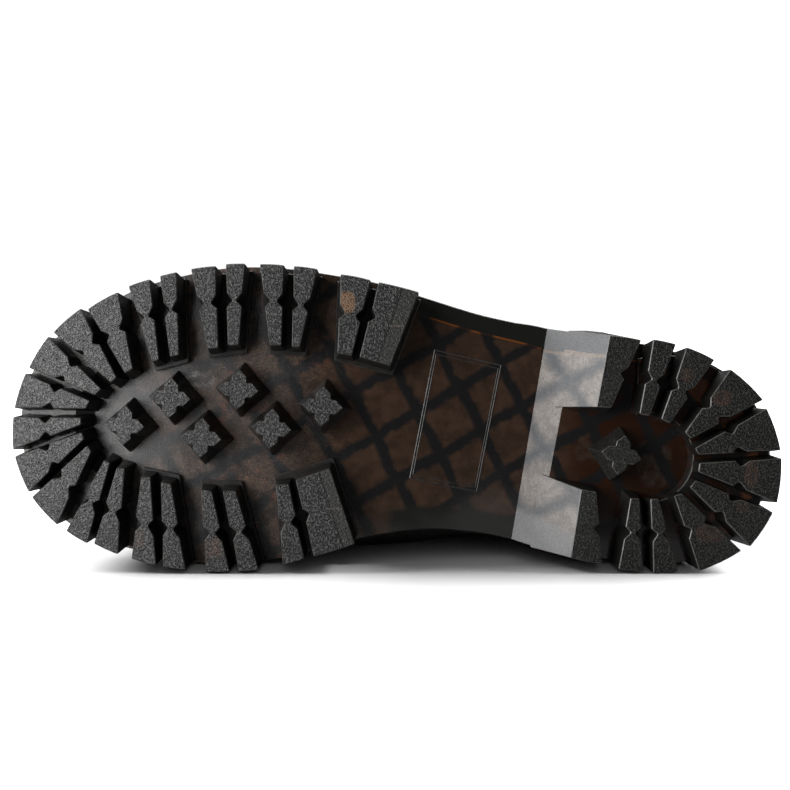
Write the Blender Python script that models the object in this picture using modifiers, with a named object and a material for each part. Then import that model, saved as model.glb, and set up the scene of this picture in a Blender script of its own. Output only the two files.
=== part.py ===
"""A left loafer on a thick lug sole, lying on its inner side.

The shoe is modelled upright in its own frame and then laid down by its parent empty.
Its own frame, in millimetres: the toe points to -X, the inner (medial) side is +Y, +Z is up,
and z = 0 is the plane that the heel and the ball of the sole would stand on.
"""

import math
from collections import namedtuple

import bmesh
import bpy
from mathutils import Matrix, Vector

MM = 0.001
GAP = 0.3

# Sole: levels are heights above the standing plane.
FOREPART_DEPTH = 11.5
HEEL_DEPTH = 11.5
WAIST_RISE = 21.0
PLINTH_RISE = 2.5
FLOOR_TUCK = 1.2
RIBS = 6
RIB_DEPTH = 0.7
RIB_BAND = (0.12, 0.96)
RIB_GROOVE = 0.25
RIB_CREST = 0.85
TOE_SPRING = 6.0
TOE_SPRING_START = -78.0
TOE_SPRING_POWER = 1.8

# Ends of the outline: arcs about these poles.
TOE_POLE = (-93.2, 2.75)
TOE_RADIUS = 47.7
HEEL_POLE = (100.9, 15.6)
HEEL_RADIUS = 40.3
TOE_FAN_DEG = (7.5, 22.5, 37.5, 52.5)
HEEL_FAN_DEG = (56.0, 40.0, 24.0, 8.0)

# The sole's sides between the arcs. A top column is how far the wall's top edge stands out from
# its bottom edge: the wall leans in towards the upper, but swells out over the arch.
Side = namedtuple("Side", "x lateral medial lateral_top medial_top")
SIDES = (
    Side(-112, -41.5, 46.4, -5.0, -5.0),
    Side(-98, -48.8, 51.4, -5.0, -5.0),
    Side(-80, -53.9, 55.3, -5.0, -5.2),
    Side(-62, -56.8, 56.5, -4.8, -5.2),
    Side(-42, -56.4, 54.0, -4.4, -3.0),
    Side(-21, -53.4, 48.4, -3.8, 2.8),
    Side(-5, -50.6, 45.1, -3.4, 5.8),
    Side(12, -45.8, 43.6, -3.0, 6.0),
    Side(31, -40.2, 45.4, -3.0, 2.6),
    Side(50, -35.8, 49.6, -3.4, -1.8),
    Side(65, -31.9, 51.5, -4.4, -4.4),
    Side(82, -30.0, 55.3, -5.4, -5.8),
    Side(97, -27.6, 56.6, -6.0, -6.2),
    Side(112, -23.2, 54.3, -6.2, -6.2),
)

# Stations across the sole. Over the arch and heel breast they slant, as the breast does.
STATIONS_X = (-112, -104, -96, -88, -80, -71, -62, -52, -42, -32, -22, -12, -2)
THROAT_X = 8.0
THROAT_STATIONS_X = (8, 9, 11, 14, 18, 23, 29)
BREAST_FOOT_X = 51.2
BREAST_FLOOR_X = 60.2
BREAST_TOP_X = 71.0
REAR_STATIONS_X = (38, BREAST_FOOT_X, BREAST_FLOOR_X, BREAST_TOP_X, 82, 92, 102, 110)
Slant = namedtuple("Slant", "x shift")
SLANTS = (Slant(12, 0.0), Slant(BREAST_FOOT_X, 7.0), Slant(BREAST_TOP_X, 7.1), Slant(104, 0.0))

# Heights along the shoe: the sole's top, and its bottom between the lugs.
Level = namedtuple("Level", "x top floor")
LEVELS = (
    Level(-141, 35.0, FOREPART_DEPTH),
    Level(-116, 31.6, FOREPART_DEPTH),
    Level(-93, 29.6, FOREPART_DEPTH),
    Level(-60, 29.0, FOREPART_DEPTH),
    Level(-32, 30.2, FOREPART_DEPTH),
    Level(-8, 33.2, 11.9),
    Level(20, 37.8, 16.0),
    Level(BREAST_FOOT_X, 41.8, WAIST_RISE),
    Level(80, 44.0, WAIST_RISE),
    Level(141, 44.5, WAIST_RISE),
)

# Lugs, by the corners of their treads. A pinch is the place of the waisted notch, as a share
# of the length from the outer end, on the sides named; a run is how far the toe or heel wall
# slopes out to its root.
Lug = namedtuple("Lug", "name toe_outer heel_outer heel_inner toe_inner pinch sides toe_run heel_run")
BOTH, TOE, HEEL = "both", "toe", "heel"
FOREPART_LUGS = (
    Lug("lateral_toe", (-140.2, -4.2), (-136.5, -15.2), (-113.4, -6.1), (-114.9, -3.9), 0.48, BOTH, 0, 0),
    Lug("lateral_1", (-134.7, -18.5), (-128.1, -28.4), (-109.2, -10.5), (-111.2, -9.0), 0.48, BOTH, 0, 0),
    Lug("lateral_2", (-125.5, -31.0), (-116.3, -38.7), (-103.5, -14.9), (-105.0, -13.4), 0.45, BOTH, 0, 0),
    Lug("lateral_3", (-113.4, -40.7), (-102.8, -46.4), (-97.3, -18.2), (-99.6, -16.7), 0.44, BOTH, 0, 0),
    Lug("lateral_4", (-98.7, -48.6), (-90.6, -51.2), (-87.3, -21.5), (-89.9, -20.7), 0.43, BOTH, 0, 0),
    Lug("lateral_5", (-87.0, -52.3), (-80.7, -53.8), (-80.0, -23.3), (-83.3, -22.6), 0.43, BOTH, 0, 0),
    Lug("lateral_6", (-75.6, -54.9), (-66.4, -56.0), (-65.5, -25.9), (-69.4, -25.5), 0.44, BOTH, 0, 0),
    Lug("lateral_7", (-62.8, -56.7), (-55.6, -56.9), (-58.0, -27.0), (-62.0, -26.8), 0.45, BOTH, 0, 0),
    Lug("lateral_8", (-50.3, -56.7), (-41.3, -56.3), (-42.4, -26.8), (-46.6, -26.8), 0.45, BOTH, 0, 0),
    Lug("lateral_9", (-37.8, -56.0), (-29.0, -54.9), (-35.6, -26.2), (-38.5, -26.2), 0.47, BOTH, 0, 0),
    Lug("lateral_10", (-20.6, -53.0), (-9.5, -50.8), (-16.5, -22.9), (-21.7, -23.9), 0.48, BOTH, 0, 0),
    Lug("lateral_11", (-6.6, -50.1), (2.2, -47.9), (-7.3, -20.4), (-13.6, -22.6), 0.45, TOE, 0, 6.0),
    Lug("toe_centre", (-141.0, 0.2), (-141.0, 10.8), (-116.7, 1.9), (-116.7, 0.2), 0.48, BOTH, 0, 0),
    Lug("medial_1", (-140.2, 14.5), (-135.4, 25.9), (-115.6, 7.2), (-116.3, 5.6), 0.46, BOTH, 0, 0),
    Lug("medial_2", (-133.6, 28.8), (-125.1, 37.6), (-113.0, 11.9), (-114.0, 10.4), 0.46, BOTH, 0, 0),
    Lug("medial_3", (-121.1, 40.9), (-114.3, 45.0), (-106.0, 16.3), (-107.5, 15.6), 0.46, BOTH, 0, 0),
    Lug("medial_4", (-111.2, 46.4), (-102.8, 50.1), (-100.2, 18.5), (-102.8, 18.2), 0.46, BOTH, 0, 0),
    Lug("medial_5", (-97.6, 51.6), (-88.4, 54.0), (-90.5, 21.5), (-94.0, 21.5), 0.43, BOTH, 0, 0),
    Lug("medial_6", (-85.9, 54.5), (-77.4, 55.6), (-82.9, 24.0), (-86.6, 23.3), 0.46, BOTH, 0, 0),
    Lug("medial_7", (-70.1, 56.3), (-61.3, 56.3), (-67.9, 26.6), (-71.9, 26.1), 0.47, BOTH, 0, 0),
    Lug("medial_8", (-58.0, 56.3), (-50.6, 55.6), (-59.1, 26.6), (-63.9, 26.6), 0.48, BOTH, 0, 0),
    Lug("medial_9", (-41.8, 53.8), (-33.8, 51.6), (-39.6, 24.0), (-44.4, 24.4), 0.50, BOTH, 0, 0),
    Lug("medial_10", (-30.5, 50.8), (-19.6, 47.4), (-28.6, 19.4), (-37.1, 22.6), 0.54, TOE, 0, 6.0),
)
BREAST_RUN = 12.3
HEEL_LUGS = (
    Lug("heel_front_lateral", (78.2, -30.6), (89.9, -28.8), (78.9, -3.9), (73.4, -4.2),
        0.50, HEEL, BREAST_RUN, 0),
    Lug("heel_1", (94.1, -28.4), (102.4, -26.6), (92.9, -0.9), (89.2, -1.7), 0.52, BOTH, 0, 0),
    Lug("heel_2", (106.4, -25.5), (116.0, -21.1), (100.2, 1.7), (97.3, 0.2), 0.53, BOTH, 0, 0),
    Lug("heel_3", (122.6, -17.1), (133.6, -6.8), (107.9, 7.2), (106.1, 5.3), 0.54, BOTH, 0, 0),
    Lug("heel_4", (135.4, -2.8), (140.2, 11.2), (110.8, 13.0), (109.7, 11.2), 0.50, BOTH, 0, 0),
    Lug("heel_5", (140.6, 15.2), (139.1, 30.3), (110.8, 19.3), (111.2, 16.7), 0.48, BOTH, 0, 0),
    Lug("heel_6", (137.3, 34.7), (129.6, 46.1), (107.9, 25.1), (109.7, 22.9), 0.50, BOTH, 0, 0),
    Lug("heel_7", (125.9, 48.6), (111.2, 55.6), (102.0, 28.4), (104.6, 27.7), 0.52, BOTH, 0, 0),
    Lug("heel_8", (103.5, 56.0), (94.3, 57.1), (93.2, 29.5), (96.2, 29.5), 0.52, BOTH, 0, 0),
    Lug("heel_9", (90.6, 56.3), (81.5, 55.4), (85.9, 29.2), (89.2, 29.5), 0.52, BOTH, 0, 0),
    Lug("heel_front_medial", (63.9, 51.2), (75.6, 53.4), (73.4, 27.0), (67.7, 26.1),
        0.48, HEEL, BREAST_RUN, 0),
)
PLINTH_PAIRS = (
    ("lateral_4", "lateral_5"), ("lateral_6", "lateral_7"), ("lateral_8", "lateral_9"),
    ("lateral_10", "lateral_11"), ("medial_5", "medial_6"), ("medial_7", "medial_8"),
    ("medial_9", "medial_10"),
)
NOTCH_DEPTH = 2.0
NOTCH_BEFORE = 0.10
NOTCH_AFTER = 0.07
NOTCH_LEAD = 0.25
LUG_OUTER_TUCK = 2.2
LUG_INNER_SLOPE = 2.2
LUG_DRAFT = 1.1
LUG_EMBED = 1.5
PLINTH_MARGIN = 1.3
PLINTH_EMBED = 1.0
PLINTH_TUCK = 1.7
PLINTH_REACH = 0.6
TOE_RING_INNER = 16.6
TOE_RING_OUTER = 46.6
TOE_RING_FROM_DEG = -58.0
TOE_RING_TO_DEG = 76.0
HEEL_RING_POLE = (93.0, 14.4)
HEEL_RING_INNER = 13.4
HEEL_RING_OUTER = 39.2
HEEL_RING_SPAN_DEG = 105.0

# Clover studs: a diamond base with a four-petalled top.
Stud = namedtuple("Stud", "name x y turn")
STUDS = (
    Stud("stud_1", -100.2, 2.6, 4.5), Stud("stud_2", -83.1, -7.5, 4.5),
    Stud("stud_3", -58.1, -10.6, 4.5), Stud("stud_4", -71.7, 7.2, 4.5),
    Stud("stud_5", -46.0, 3.8, 4.5), Stud("stud_6", -27.1, -4.4, 4.5),
    Stud("stud_heel", 82.6, 13.5, 11.0),
)
STUD_BASE_LEVEL = 5.0
STUD_BASE_RADIUS = 8.8
STUD_ROOT_RADIUS = 10.5
STUD_SEAT = 1.0
PETAL_TIP = 7.9
PETAL_SHOULDER = 6.0
PETAL_NOTCH = 3.8
PETAL_SHOULDER_DEG = 25.0

# Upper: one row per cross-section. Margins are the welt's width inside the sole's top edge, the
# ridge is the height of the section over the sole, and a squareness of 2 is an ellipse.
Section = namedtuple("Section", "x lateral_margin medial_margin ridge squareness bulge lean")
SECTIONS = (
    Section(-141, 6.4, 6.4, 35.0, 2.50, 0.05, 0.0),
    Section(-93, 6.0, 6.0, 35.5, 2.45, 0.06, 0.0),
    Section(-76, 5.8, 6.0, 38.0, 2.35, 0.06, 0.0),
    Section(-55, 5.6, 6.0, 43.0, 2.25, 0.06, 0.0),
    Section(-32, 5.6, 6.0, 51.5, 2.18, 0.05, 0.0),
    Section(-10, 5.8, 5.6, 63.5, 2.15, 0.03, 0.0),
    Section(8, 6.2, 5.4, 76.0, 2.25, 0.02, 0.01),
    Section(30, 6.8, 5.8, 87.0, 3.00, 0.02, 0.04),
    Section(55, 7.2, 6.4, 91.0, 4.00, 0.03, 0.08),
    Section(85, 7.0, 6.8, 92.0, 4.60, 0.05, 0.12),
    Section(141, 6.8, 6.8, 92.0, 4.80, 0.08, 0.14),
)
Collar = namedtuple("Collar", "x height")
COLLARS = (Collar(8, 66), Collar(16, 61), Collar(29, 55.5), Collar(45, 52), Collar(65, 51.5),
           Collar(92, 54.5), Collar(118, 60), Collar(141, 62))
THROAT_RUN = 20.0
THROAT_SQUARENESS = 2.4
COLLAR_CEILING = 0.98
BULGE_TOP = 0.8
RINGS = 11
WALL = 2.0

# Trims and closing pieces.
WELT_HEIGHT = 3.5
WELT_SETBACK = 0.5
WELT_CLEARANCE = 1.2
INSOLE_HEIGHT = 3.0
INSOLE_CLEARANCE = 0.7
SEAM_DEG = 57.0
SEAM_HALF_WIDTH_DEG = 2.0
SEAM_HEIGHT = 1.8
SEAM_END_X = -24.0
STRAP_FRONT_X = -26.0
STRAP_REAR_X = -4.0
STRAP_FLARE = 5.0
STRAP_HEIGHT = 1.6
STRAP_GAP = 0.6
STRAP_COLUMNS = 6
STRAP_FOOT = 0.35
SLOT_LENGTH = 24.0
SLOT_WIDTH = 6.0
SLOT_STEPS = 8
SLOT_FROM = 30.0
SLOT_BEYOND = 20.0
BINDING_LEG = 3.2
BINDING_GAP = 0.7
COLLAR_MIDDLE = (55.0, 10.0)
COLLAR_AIM = 30.0
BINDING_HEIGHT = 1.0
BACKSTAY_HALF_DEG = 10.5
BACKSTAY_HEIGHT = 1.2
BACKSTAY_ROWS = 6
BACKSTAY_FOOT = 0.08
BACKSTAY_TOP = 0.88

# How the shoe lies: from standing, it turns over its inner side and leans back on the upper.
LEAN_DEG = 7.2
ROLL_DEG = 0.0

Edge = namedtuple("Edge", "x y nx ny top")
Station = namedtuple("Station", "x lateral medial")


def smooth(rows, x, column):
    """The named column at x, on a cubic curve through the rows; constant past both ends."""
    xs = [row.x for row in rows]
    values = [getattr(row, column) for row in rows]
    if x <= xs[0]:
        return values[0]
    if x >= xs[-1]:
        return values[-1]
    i = next(k for k in range(len(xs) - 1) if x <= xs[k + 1])

    def slope(k):
        low, high = max(k - 1, 0), min(k + 1, len(xs) - 1)
        return (values[high] - values[low]) / (xs[high] - xs[low])

    width = xs[i + 1] - xs[i]
    t = (x - xs[i]) / width
    rise = values[i + 1] - values[i]
    a = slope(i) * width - rise
    b = rise - slope(i + 1) * width
    return values[i] + t * rise + t * (1 - t) * (a * (1 - t) + b * t)


def tread_level(x):
    """Height of the lugs' treads: flat under ball and heel, sprung at the toe."""
    share = max(0.0, (TOE_SPRING_START - x) / (TOE_SPRING_START - (TOE_POLE[0] - TOE_RADIUS)))
    return TOE_SPRING * share**TOE_SPRING_POWER


def floor_level(x):
    """Height of the sole's bottom between the lugs, at a station."""
    if x >= BREAST_FLOOR_X:
        return HEEL_DEPTH
    return tread_level(x) + smooth(LEVELS, x, "floor")


def top_level(x):
    return smooth(LEVELS, x, "top")


def side_edge(x, name):
    """Point of the sole's outline on one long side, with its outward normal."""
    sign = 1 if name == "medial" else -1
    slope = smooth(SIDES, x + 1, name) - smooth(SIDES, x - 1, name)
    normal = Vector((-sign * slope / 2, sign)).normalized()
    return Edge(x, smooth(SIDES, x, name), *normal, smooth(SIDES, x, name + "_top"))


def arc_edge(pole, radius, direction, sign, degrees, top):
    """Point of the outline on the toe's or the heel's arc."""
    turn = math.radians(degrees)
    normal = (direction * math.cos(turn), sign * math.sin(turn))
    return Edge(pole[0] + radius * normal[0], pole[1] + radius * normal[1], *normal, top)


def fan(pole, radius, direction, angles, top):
    stations = []
    for degrees in angles:
        lateral = arc_edge(pole, radius, direction, -1, degrees, top)
        medial = arc_edge(pole, radius, direction, 1, degrees, top)
        stations.append(Station(lateral.x, lateral, medial))
    return stations


def stations(middle):
    """Stations from toe to heel, each a point on the outer and on the inner side."""
    found = fan(TOE_POLE, TOE_RADIUS, -1, TOE_FAN_DEG, SIDES[0].lateral_top)
    for x in middle:
        shift = smooth(SLANTS, x, "shift")
        found.append(Station(x, side_edge(x + shift, "lateral"), side_edge(x - shift, "medial")))
    return found + fan(HEEL_POLE, HEEL_RADIUS, 1, HEEL_FAN_DEG, SIDES[-1].medial_top)


SOLE_STATIONS = stations(STATIONS_X + (THROAT_X, 18, 29) + REAR_STATIONS_X)
UPPER_STATIONS = stations(STATIONS_X + THROAT_STATIONS_X + REAR_STATIONS_X)


def moved(edge, distance):
    return Vector((edge.x + edge.nx * distance, edge.y + edge.ny * distance))


def mesh_object(name, points, faces, collection):
    """A mesh object from points in millimetres, its equal points joined and its faces out."""
    mesh = bpy.data.meshes.new(name)
    mesh.from_pydata([Vector(point) * MM for point in points], [], faces)
    form = bmesh.new()
    form.from_mesh(mesh)
    bmesh.ops.remove_doubles(form, verts=form.verts, dist=0.00001)
    bmesh.ops.recalc_face_normals(form, faces=form.faces)
    form.to_mesh(mesh)
    form.free()
    made = bpy.data.objects.new(name, mesh)
    collection.objects.link(made)
    return made


def strip_faces(rows, columns, around=False):
    """Quads between rows of equal length; with around, each row is a closed loop."""
    faces = []
    for i in range(rows - 1):
        for j in range(columns if around else columns - 1):
            k = (j + 1) % columns
            faces.append((i * columns + j, i * columns + k, (i + 1) * columns + k, (i + 1) * columns + j))
    return faces


def loft(name, loops, collection, closed=False):
    """A solid through closed loops of equal length, capped at both ends or joined end to end."""
    columns = len(loops[0])
    points = [point for loop in loops for point in loop]
    if closed:
        points += loops[0]
        faces = strip_faces(len(loops) + 1, columns, around=True)
    else:
        faces = strip_faces(len(loops), columns, around=True)
        first = tuple(range(columns))
        last = tuple(range(len(points) - columns, len(points)))
        faces += [first, last]
    return mesh_object(name, points, faces, collection)


def prism(name, bottom, top, collection):
    """A solid between two outlines with as many points."""
    return loft(name, [bottom, top], collection)


# ---------------------------------------------------------------- outsole


def wall_profile():
    """Rows down the sole's side: share of its height from the top, and how far it stands out."""
    first, last = RIB_BAND
    rows = [(0.0, 0.0), (first / 2, 0.0)]
    pitch = (last - first) / RIBS
    for i in range(RIBS):
        start = first + i * pitch
        rows += [(start + RIB_GROOVE * pitch, -RIB_DEPTH), (start + RIB_CREST * pitch, 0.0)]
    return rows + [(1.0, 0.0)]


def sole_section(station):
    """Closed loop round the sole at a station: down the outer wall and up the inner one."""
    top = top_level(station.x)
    height = top - floor_level(station.x)

    def wall(edge):
        found = []
        for share, relief in wall_profile():
            out = edge.top * (1 - share) - FLOOR_TUCK * share + relief
            found.append((*moved(edge, out), top - height * share))
        return found

    return wall(station.lateral) + wall(station.medial)[::-1]


def pinched(corners, lug, depth):
    """Outline of a lug through its corners, with its notches."""
    toe_outer, heel_outer, heel_inner, toe_inner = corners

    def side(outer, inner, inward, has_notch):
        if not has_notch:
            return [outer, inner]
        marks = ((lug.pinch - NOTCH_BEFORE, NOTCH_LEAD), (lug.pinch, 1.0), (lug.pinch + NOTCH_AFTER, 0.0))
        notch = [outer.lerp(inner, share) + inward * depth * deep for share, deep in marks]
        return [outer] + notch + [inner]

    across = (heel_outer - toe_outer).normalized()
    toe_side = side(toe_outer, toe_inner, across, lug.sides in (BOTH, TOE))
    heel_side = side(heel_outer, heel_inner, -across, lug.sides in (BOTH, HEEL))
    return toe_side[::-1] + heel_side


def lug_corners(lug):
    return [Vector(c) for c in (lug.toe_outer, lug.heel_outer, lug.heel_inner, lug.toe_inner)]


def lug_root_corners(lug):
    """Corners at the root: tucked in at the outer end and sloped out on the other sides."""
    toe_outer, heel_outer, heel_inner, toe_inner = lug_corners(lug)
    inward = ((heel_inner + toe_inner) - (heel_outer + toe_outer)).normalized()
    across = (heel_outer - toe_outer).normalized()
    toe_way = across * -(LUG_DRAFT + lug.toe_run)
    heel_way = across * (LUG_DRAFT + lug.heel_run)
    tuck, slope = inward * LUG_OUTER_TUCK, inward * LUG_INNER_SLOPE
    return [toe_outer + tuck + toe_way, heel_outer + tuck + heel_way,
            heel_inner + slope + heel_way, toe_inner + slope + toe_way]


def lug_form(lug, root_level, collection):
    """A lug from its tread, which follows the sole's spring, up to its root in the sole."""
    tread = [(*p, tread_level(p.x)) for p in pinched(lug_corners(lug), lug, NOTCH_DEPTH)]
    root = pinched(lug_root_corners(lug), lug, NOTCH_DEPTH)
    return prism(lug.name, tread, [(*p, root_level(p.x)) for p in root], collection)


def plinth_form(name, outline, level, root_level, collection):
    low = [(*p, level(p[0])) for p in outline]
    high = [(*p, root_level(p[0])) for p in outline]
    return prism(name, low, high, collection)


def pair_outline(first, second):
    """Outline of the low step that two neighbouring lugs share."""
    a, b = lug_corners(first), lug_corners(second)
    inward = ((a[2] + a[3]) - (a[0] + a[1])).normalized()
    across = (b[1] - a[0]).normalized()
    out = inward * PLINTH_TUCK
    reach = inward * (LUG_INNER_SLOPE + PLINTH_REACH)
    toe_way, heel_way = across * -PLINTH_MARGIN, across * (PLINTH_MARGIN + second.heel_run)
    return [a[0] + out + toe_way, b[1] + out + heel_way, b[2] + reach + heel_way, a[3] + reach + toe_way]


def sector(pole, radius, from_deg, to_deg, count, direction):
    """Points of an arc, its angle counted from the toe (-1) or heel (1) towards +Y."""
    found = []
    for i in range(count):
        turn = math.radians(from_deg + (to_deg - from_deg) * i / (count - 1))
        found.append((pole[0] + direction * radius * math.cos(turn), pole[1] + radius * math.sin(turn)))
    return found


def toe_ring_outline():
    span = (TOE_RING_FROM_DEG, TOE_RING_TO_DEG)
    outer = sector(TOE_POLE, TOE_RING_OUTER, *span, 14, -1)
    return outer + sector(TOE_POLE, TOE_RING_INNER, *span, 10, -1)[::-1]


def heel_ring_outline():
    span = HEEL_RING_SPAN_DEG
    outer = sector(HEEL_POLE, HEEL_RING_OUTER, -span, span, 16, 1)
    return outer + sector(HEEL_RING_POLE, HEEL_RING_INNER, -span, span, 12, 1)[::-1]


def turned(stud, radius, degrees):
    turn = math.radians(degrees + stud.turn)
    return (stud.x + radius * math.cos(turn), stud.y + radius * math.sin(turn))


def diamond(stud, radius):
    return [turned(stud, radius, 90 * k) for k in range(4)]


def clover(stud):
    """Four petals that point to the diamond's corners, parted by notches."""
    ring = ((-PETAL_SHOULDER_DEG, PETAL_SHOULDER), (0, PETAL_TIP),
            (PETAL_SHOULDER_DEG, PETAL_SHOULDER), (45, PETAL_NOTCH))
    return [turned(stud, radius, 90 * k + turn) for k in range(4) for turn, radius in ring]


def stud_forms(stud, root_level, collection):
    base_level = tread_level(stud.x) + STUD_BASE_LEVEL
    low = [(*p, base_level) for p in diamond(stud, STUD_BASE_RADIUS)]
    high = [(*p, root_level(p[0])) for p in diamond(stud, STUD_ROOT_RADIUS)]
    prism(stud.name + "_base", low, high, collection)
    tread = [(*p, tread_level(p[0])) for p in clover(stud)]
    seat = [(*p, base_level + STUD_SEAT) for p in clover(stud)]
    prism(stud.name + "_clover", tread, seat, collection)


def forepart_root(x):
    return tread_level(x) + FOREPART_DEPTH + LUG_EMBED


def heel_root(x):
    return HEEL_DEPTH + LUG_EMBED


def plinths(collection):
    named = {lug.name: lug for lug in FOREPART_LUGS}

    def low(x):
        return tread_level(x) + FOREPART_DEPTH - PLINTH_RISE

    def high(x):
        return tread_level(x) + FOREPART_DEPTH + PLINTH_EMBED

    for first, second in PLINTH_PAIRS:
        outline = pair_outline(named[first], named[second])
        plinth_form(f"plinth_{first}", outline, low, high, collection)
    plinth_form("plinth_toe", toe_ring_outline(), low, high, collection)
    heel_low, heel_high = HEEL_DEPTH - PLINTH_RISE, HEEL_DEPTH + PLINTH_EMBED
    plinth_form("plinth_heel", heel_ring_outline(), lambda x: heel_low, lambda x: heel_high, collection)


def outsole(parts, cutters):
    """The moulded sole: a ribbed slab joined with its plinths, lugs and studs."""
    for lug in FOREPART_LUGS:
        lug_form(lug, forepart_root, cutters)
    for lug in HEEL_LUGS:
        lug_form(lug, heel_root, cutters)
    plinths(cutters)
    for stud in STUDS:
        stud_forms(stud, heel_root if stud.name == "stud_heel" else forepart_root, cutters)
    made = loft("outsole", [sole_section(s) for s in SOLE_STATIONS], parts)
    joined = made.modifiers.new("moulded in one", "BOOLEAN")
    joined.operation = "UNION"
    joined.operand_type = "COLLECTION"
    joined.collection = cutters
    joined.solver = "EXACT"
    return made


# ---------------------------------------------------------------- upper


def feather(edge, side):
    """Where the upper meets the sole, and the section values there."""
    margin = smooth(SECTIONS, edge.x, side + "_margin")
    return moved(edge, edge.top - margin)


def ridge_point(x):
    """Top of the section: on the shoe's centre line, which ends at the toe and heel poles."""
    held = min(max(x, TOE_POLE[0]), HEEL_POLE[0])
    share = (held - TOE_POLE[0]) / (HEEL_POLE[0] - TOE_POLE[0])
    y = TOE_POLE[1] + (HEEL_POLE[1] - TOE_POLE[1]) * share
    return Vector((held, y))


Meridian = namedtuple("Meridian", "foot base ridge peak section_x squareness bulge lean stop")


def superellipse(angle, squareness):
    """Share of the width and of the height at an angle from the horizontal."""
    c, s = abs(math.cos(angle)), abs(math.sin(angle))
    reach = (c**squareness + s**squareness) ** (-1 / squareness)
    return reach * c, reach * s


def stop_angle(x, peak, squareness):
    """Angle at which the wall ends: at the ridge over the forepart, at the collar behind."""
    if x <= THROAT_X:
        return math.pi / 2
    height = min(smooth(COLLARS, x, "height") / peak, COLLAR_CEILING)
    width = (1 - height**squareness) ** (1 / squareness)
    share = min(1.0, (x - THROAT_X) / THROAT_RUN)
    width *= (1 - (1 - share) ** THROAT_SQUARENESS) ** (1 / THROAT_SQUARENESS)
    return math.atan2((1 - width**squareness) ** (1 / squareness), width)


def meridian(station, side):
    """Half a cross-section, from the feather edge to the ridge or the collar."""
    edge = getattr(station, side)
    foot = feather(edge, side)
    ridge = ridge_point(station.x)
    peak = smooth(SECTIONS, ridge.x, "ridge")
    squareness = smooth(SECTIONS, station.x, "squareness")
    return Meridian(foot, top_level(station.x) + GAP, ridge, top_level(ridge.x) + peak, station.x,
                    squareness, smooth(SECTIONS, station.x, "bulge"),
                    smooth(SECTIONS, station.x, "lean"), stop_angle(station.x, peak, squareness))


def on_meridian(line, angle):
    """Point of the upper's outer face."""
    width, height = superellipse(angle, line.squareness)
    swell = 1 + line.bulge * math.sin(math.pi * min(1.0, height / BULGE_TOP)) - line.lean * height**2
    plan = line.ridge.lerp(line.foot, width * swell)
    return Vector((*plan, line.base + (line.peak - line.base) * height))


def meridian_ring():
    """All meridians in order: along the outer side from heel to toe, and back along the inner."""
    lateral = [meridian(s, "lateral") for s in reversed(UPPER_STATIONS)]
    return lateral + [meridian(s, "medial") for s in UPPER_STATIONS]


RING = meridian_ring()


def upper_point(i, share):
    """Point at a share of the way up meridian i."""
    line = RING[i % len(RING)]
    return on_meridian(line, line.stop * share)


def upper_normal(i, share):
    """Outward normal, from the neighbouring points."""
    low, high = max(share - 0.02, 0.0), min(share + 0.02, 1.0)
    up = upper_point(i, high) - upper_point(i, low)
    along = upper_point(i + 1, share) - upper_point(i - 1, share)
    normal = up.cross(along).normalized()
    middle = Vector((*RING[i % len(RING)].ridge, top_level(RING[i % len(RING)].section_x)))
    return normal if normal.dot(upper_point(i, share) - middle) > 0 else -normal


def upper(parts):
    """The hollow shell: its outer face with a wall added inwards."""
    points = [upper_point(i, j / RINGS) for i in range(len(RING)) for j in range(RINGS + 1)]
    points += [upper_point(0, j / RINGS) for j in range(RINGS + 1)]
    made = mesh_object("upper", points, strip_faces(len(RING) + 1, RINGS + 1), parts)
    shell = made.modifiers.new("leather wall", "SOLIDIFY")
    shell.thickness = WALL * MM
    shell.offset = -1
    shell.use_even_offset = True
    return made


def overlay(name, rows, height, parts, gap=GAP):
    """A raised piece on the upper: rows of (point, normal) lifted by the gap and by its height."""
    columns = len(rows[0])
    low = [point + normal * gap for row in rows for point, normal in row]
    high = [point + normal * (gap + height) for row in rows for point, normal in row]
    quads = strip_faces(len(rows), columns)
    size = len(low)
    rim = [(i, i + 1) for i in range(columns - 1)]
    rim += [(i * columns + columns - 1, (i + 1) * columns + columns - 1) for i in range(len(rows) - 1)]
    rim += [(size - 1 - i, size - 2 - i) for i in range(columns - 1)]
    rim += [((i + 1) * columns, i * columns) for i in range(len(rows) - 1)]
    faces = [tuple(reversed(quad)) for quad in quads]
    faces += [tuple(size + k for k in quad) for quad in quads]
    faces += [(a, b, size + b, size + a) for a, b in rim]
    return mesh_object(name, low + high, faces, parts)


def surface_at(x, side, angle):
    """Point and normal of the forepart at any section, angle counted from the feather edge."""
    def point(at_x, at_angle):
        station = Station(at_x, side_edge(at_x, "lateral"), side_edge(at_x, "medial"))
        line = meridian(station, side)
        return on_meridian(line._replace(stop=math.pi / 2), at_angle)

    here = point(x, angle)
    up = point(x, min(angle + 0.02, math.pi / 2)) - point(x, max(angle - 0.02, 0))
    along = point(x + 0.5, angle) - point(x - 0.5, angle)
    normal = up.cross(along).normalized()
    return here, normal if normal.z > 0 or angle < 0.3 and normal.y * here.y > 0 else -normal


def apron_seam(parts):
    """Raised seam round the forepart's top, up to the strap on both sides."""
    rows = []
    for i, line in enumerate(RING):
        if line.section_x > SEAM_END_X:
            continue
        shares = [(SEAM_DEG + k * SEAM_HALF_WIDTH_DEG) / 90 for k in (-1, 0, 1)]
        rows.append([(upper_point(i, s), upper_normal(i, s)) for s in shares])
    return overlay("apron_seam", rows, SEAM_HEIGHT, parts)


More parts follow.
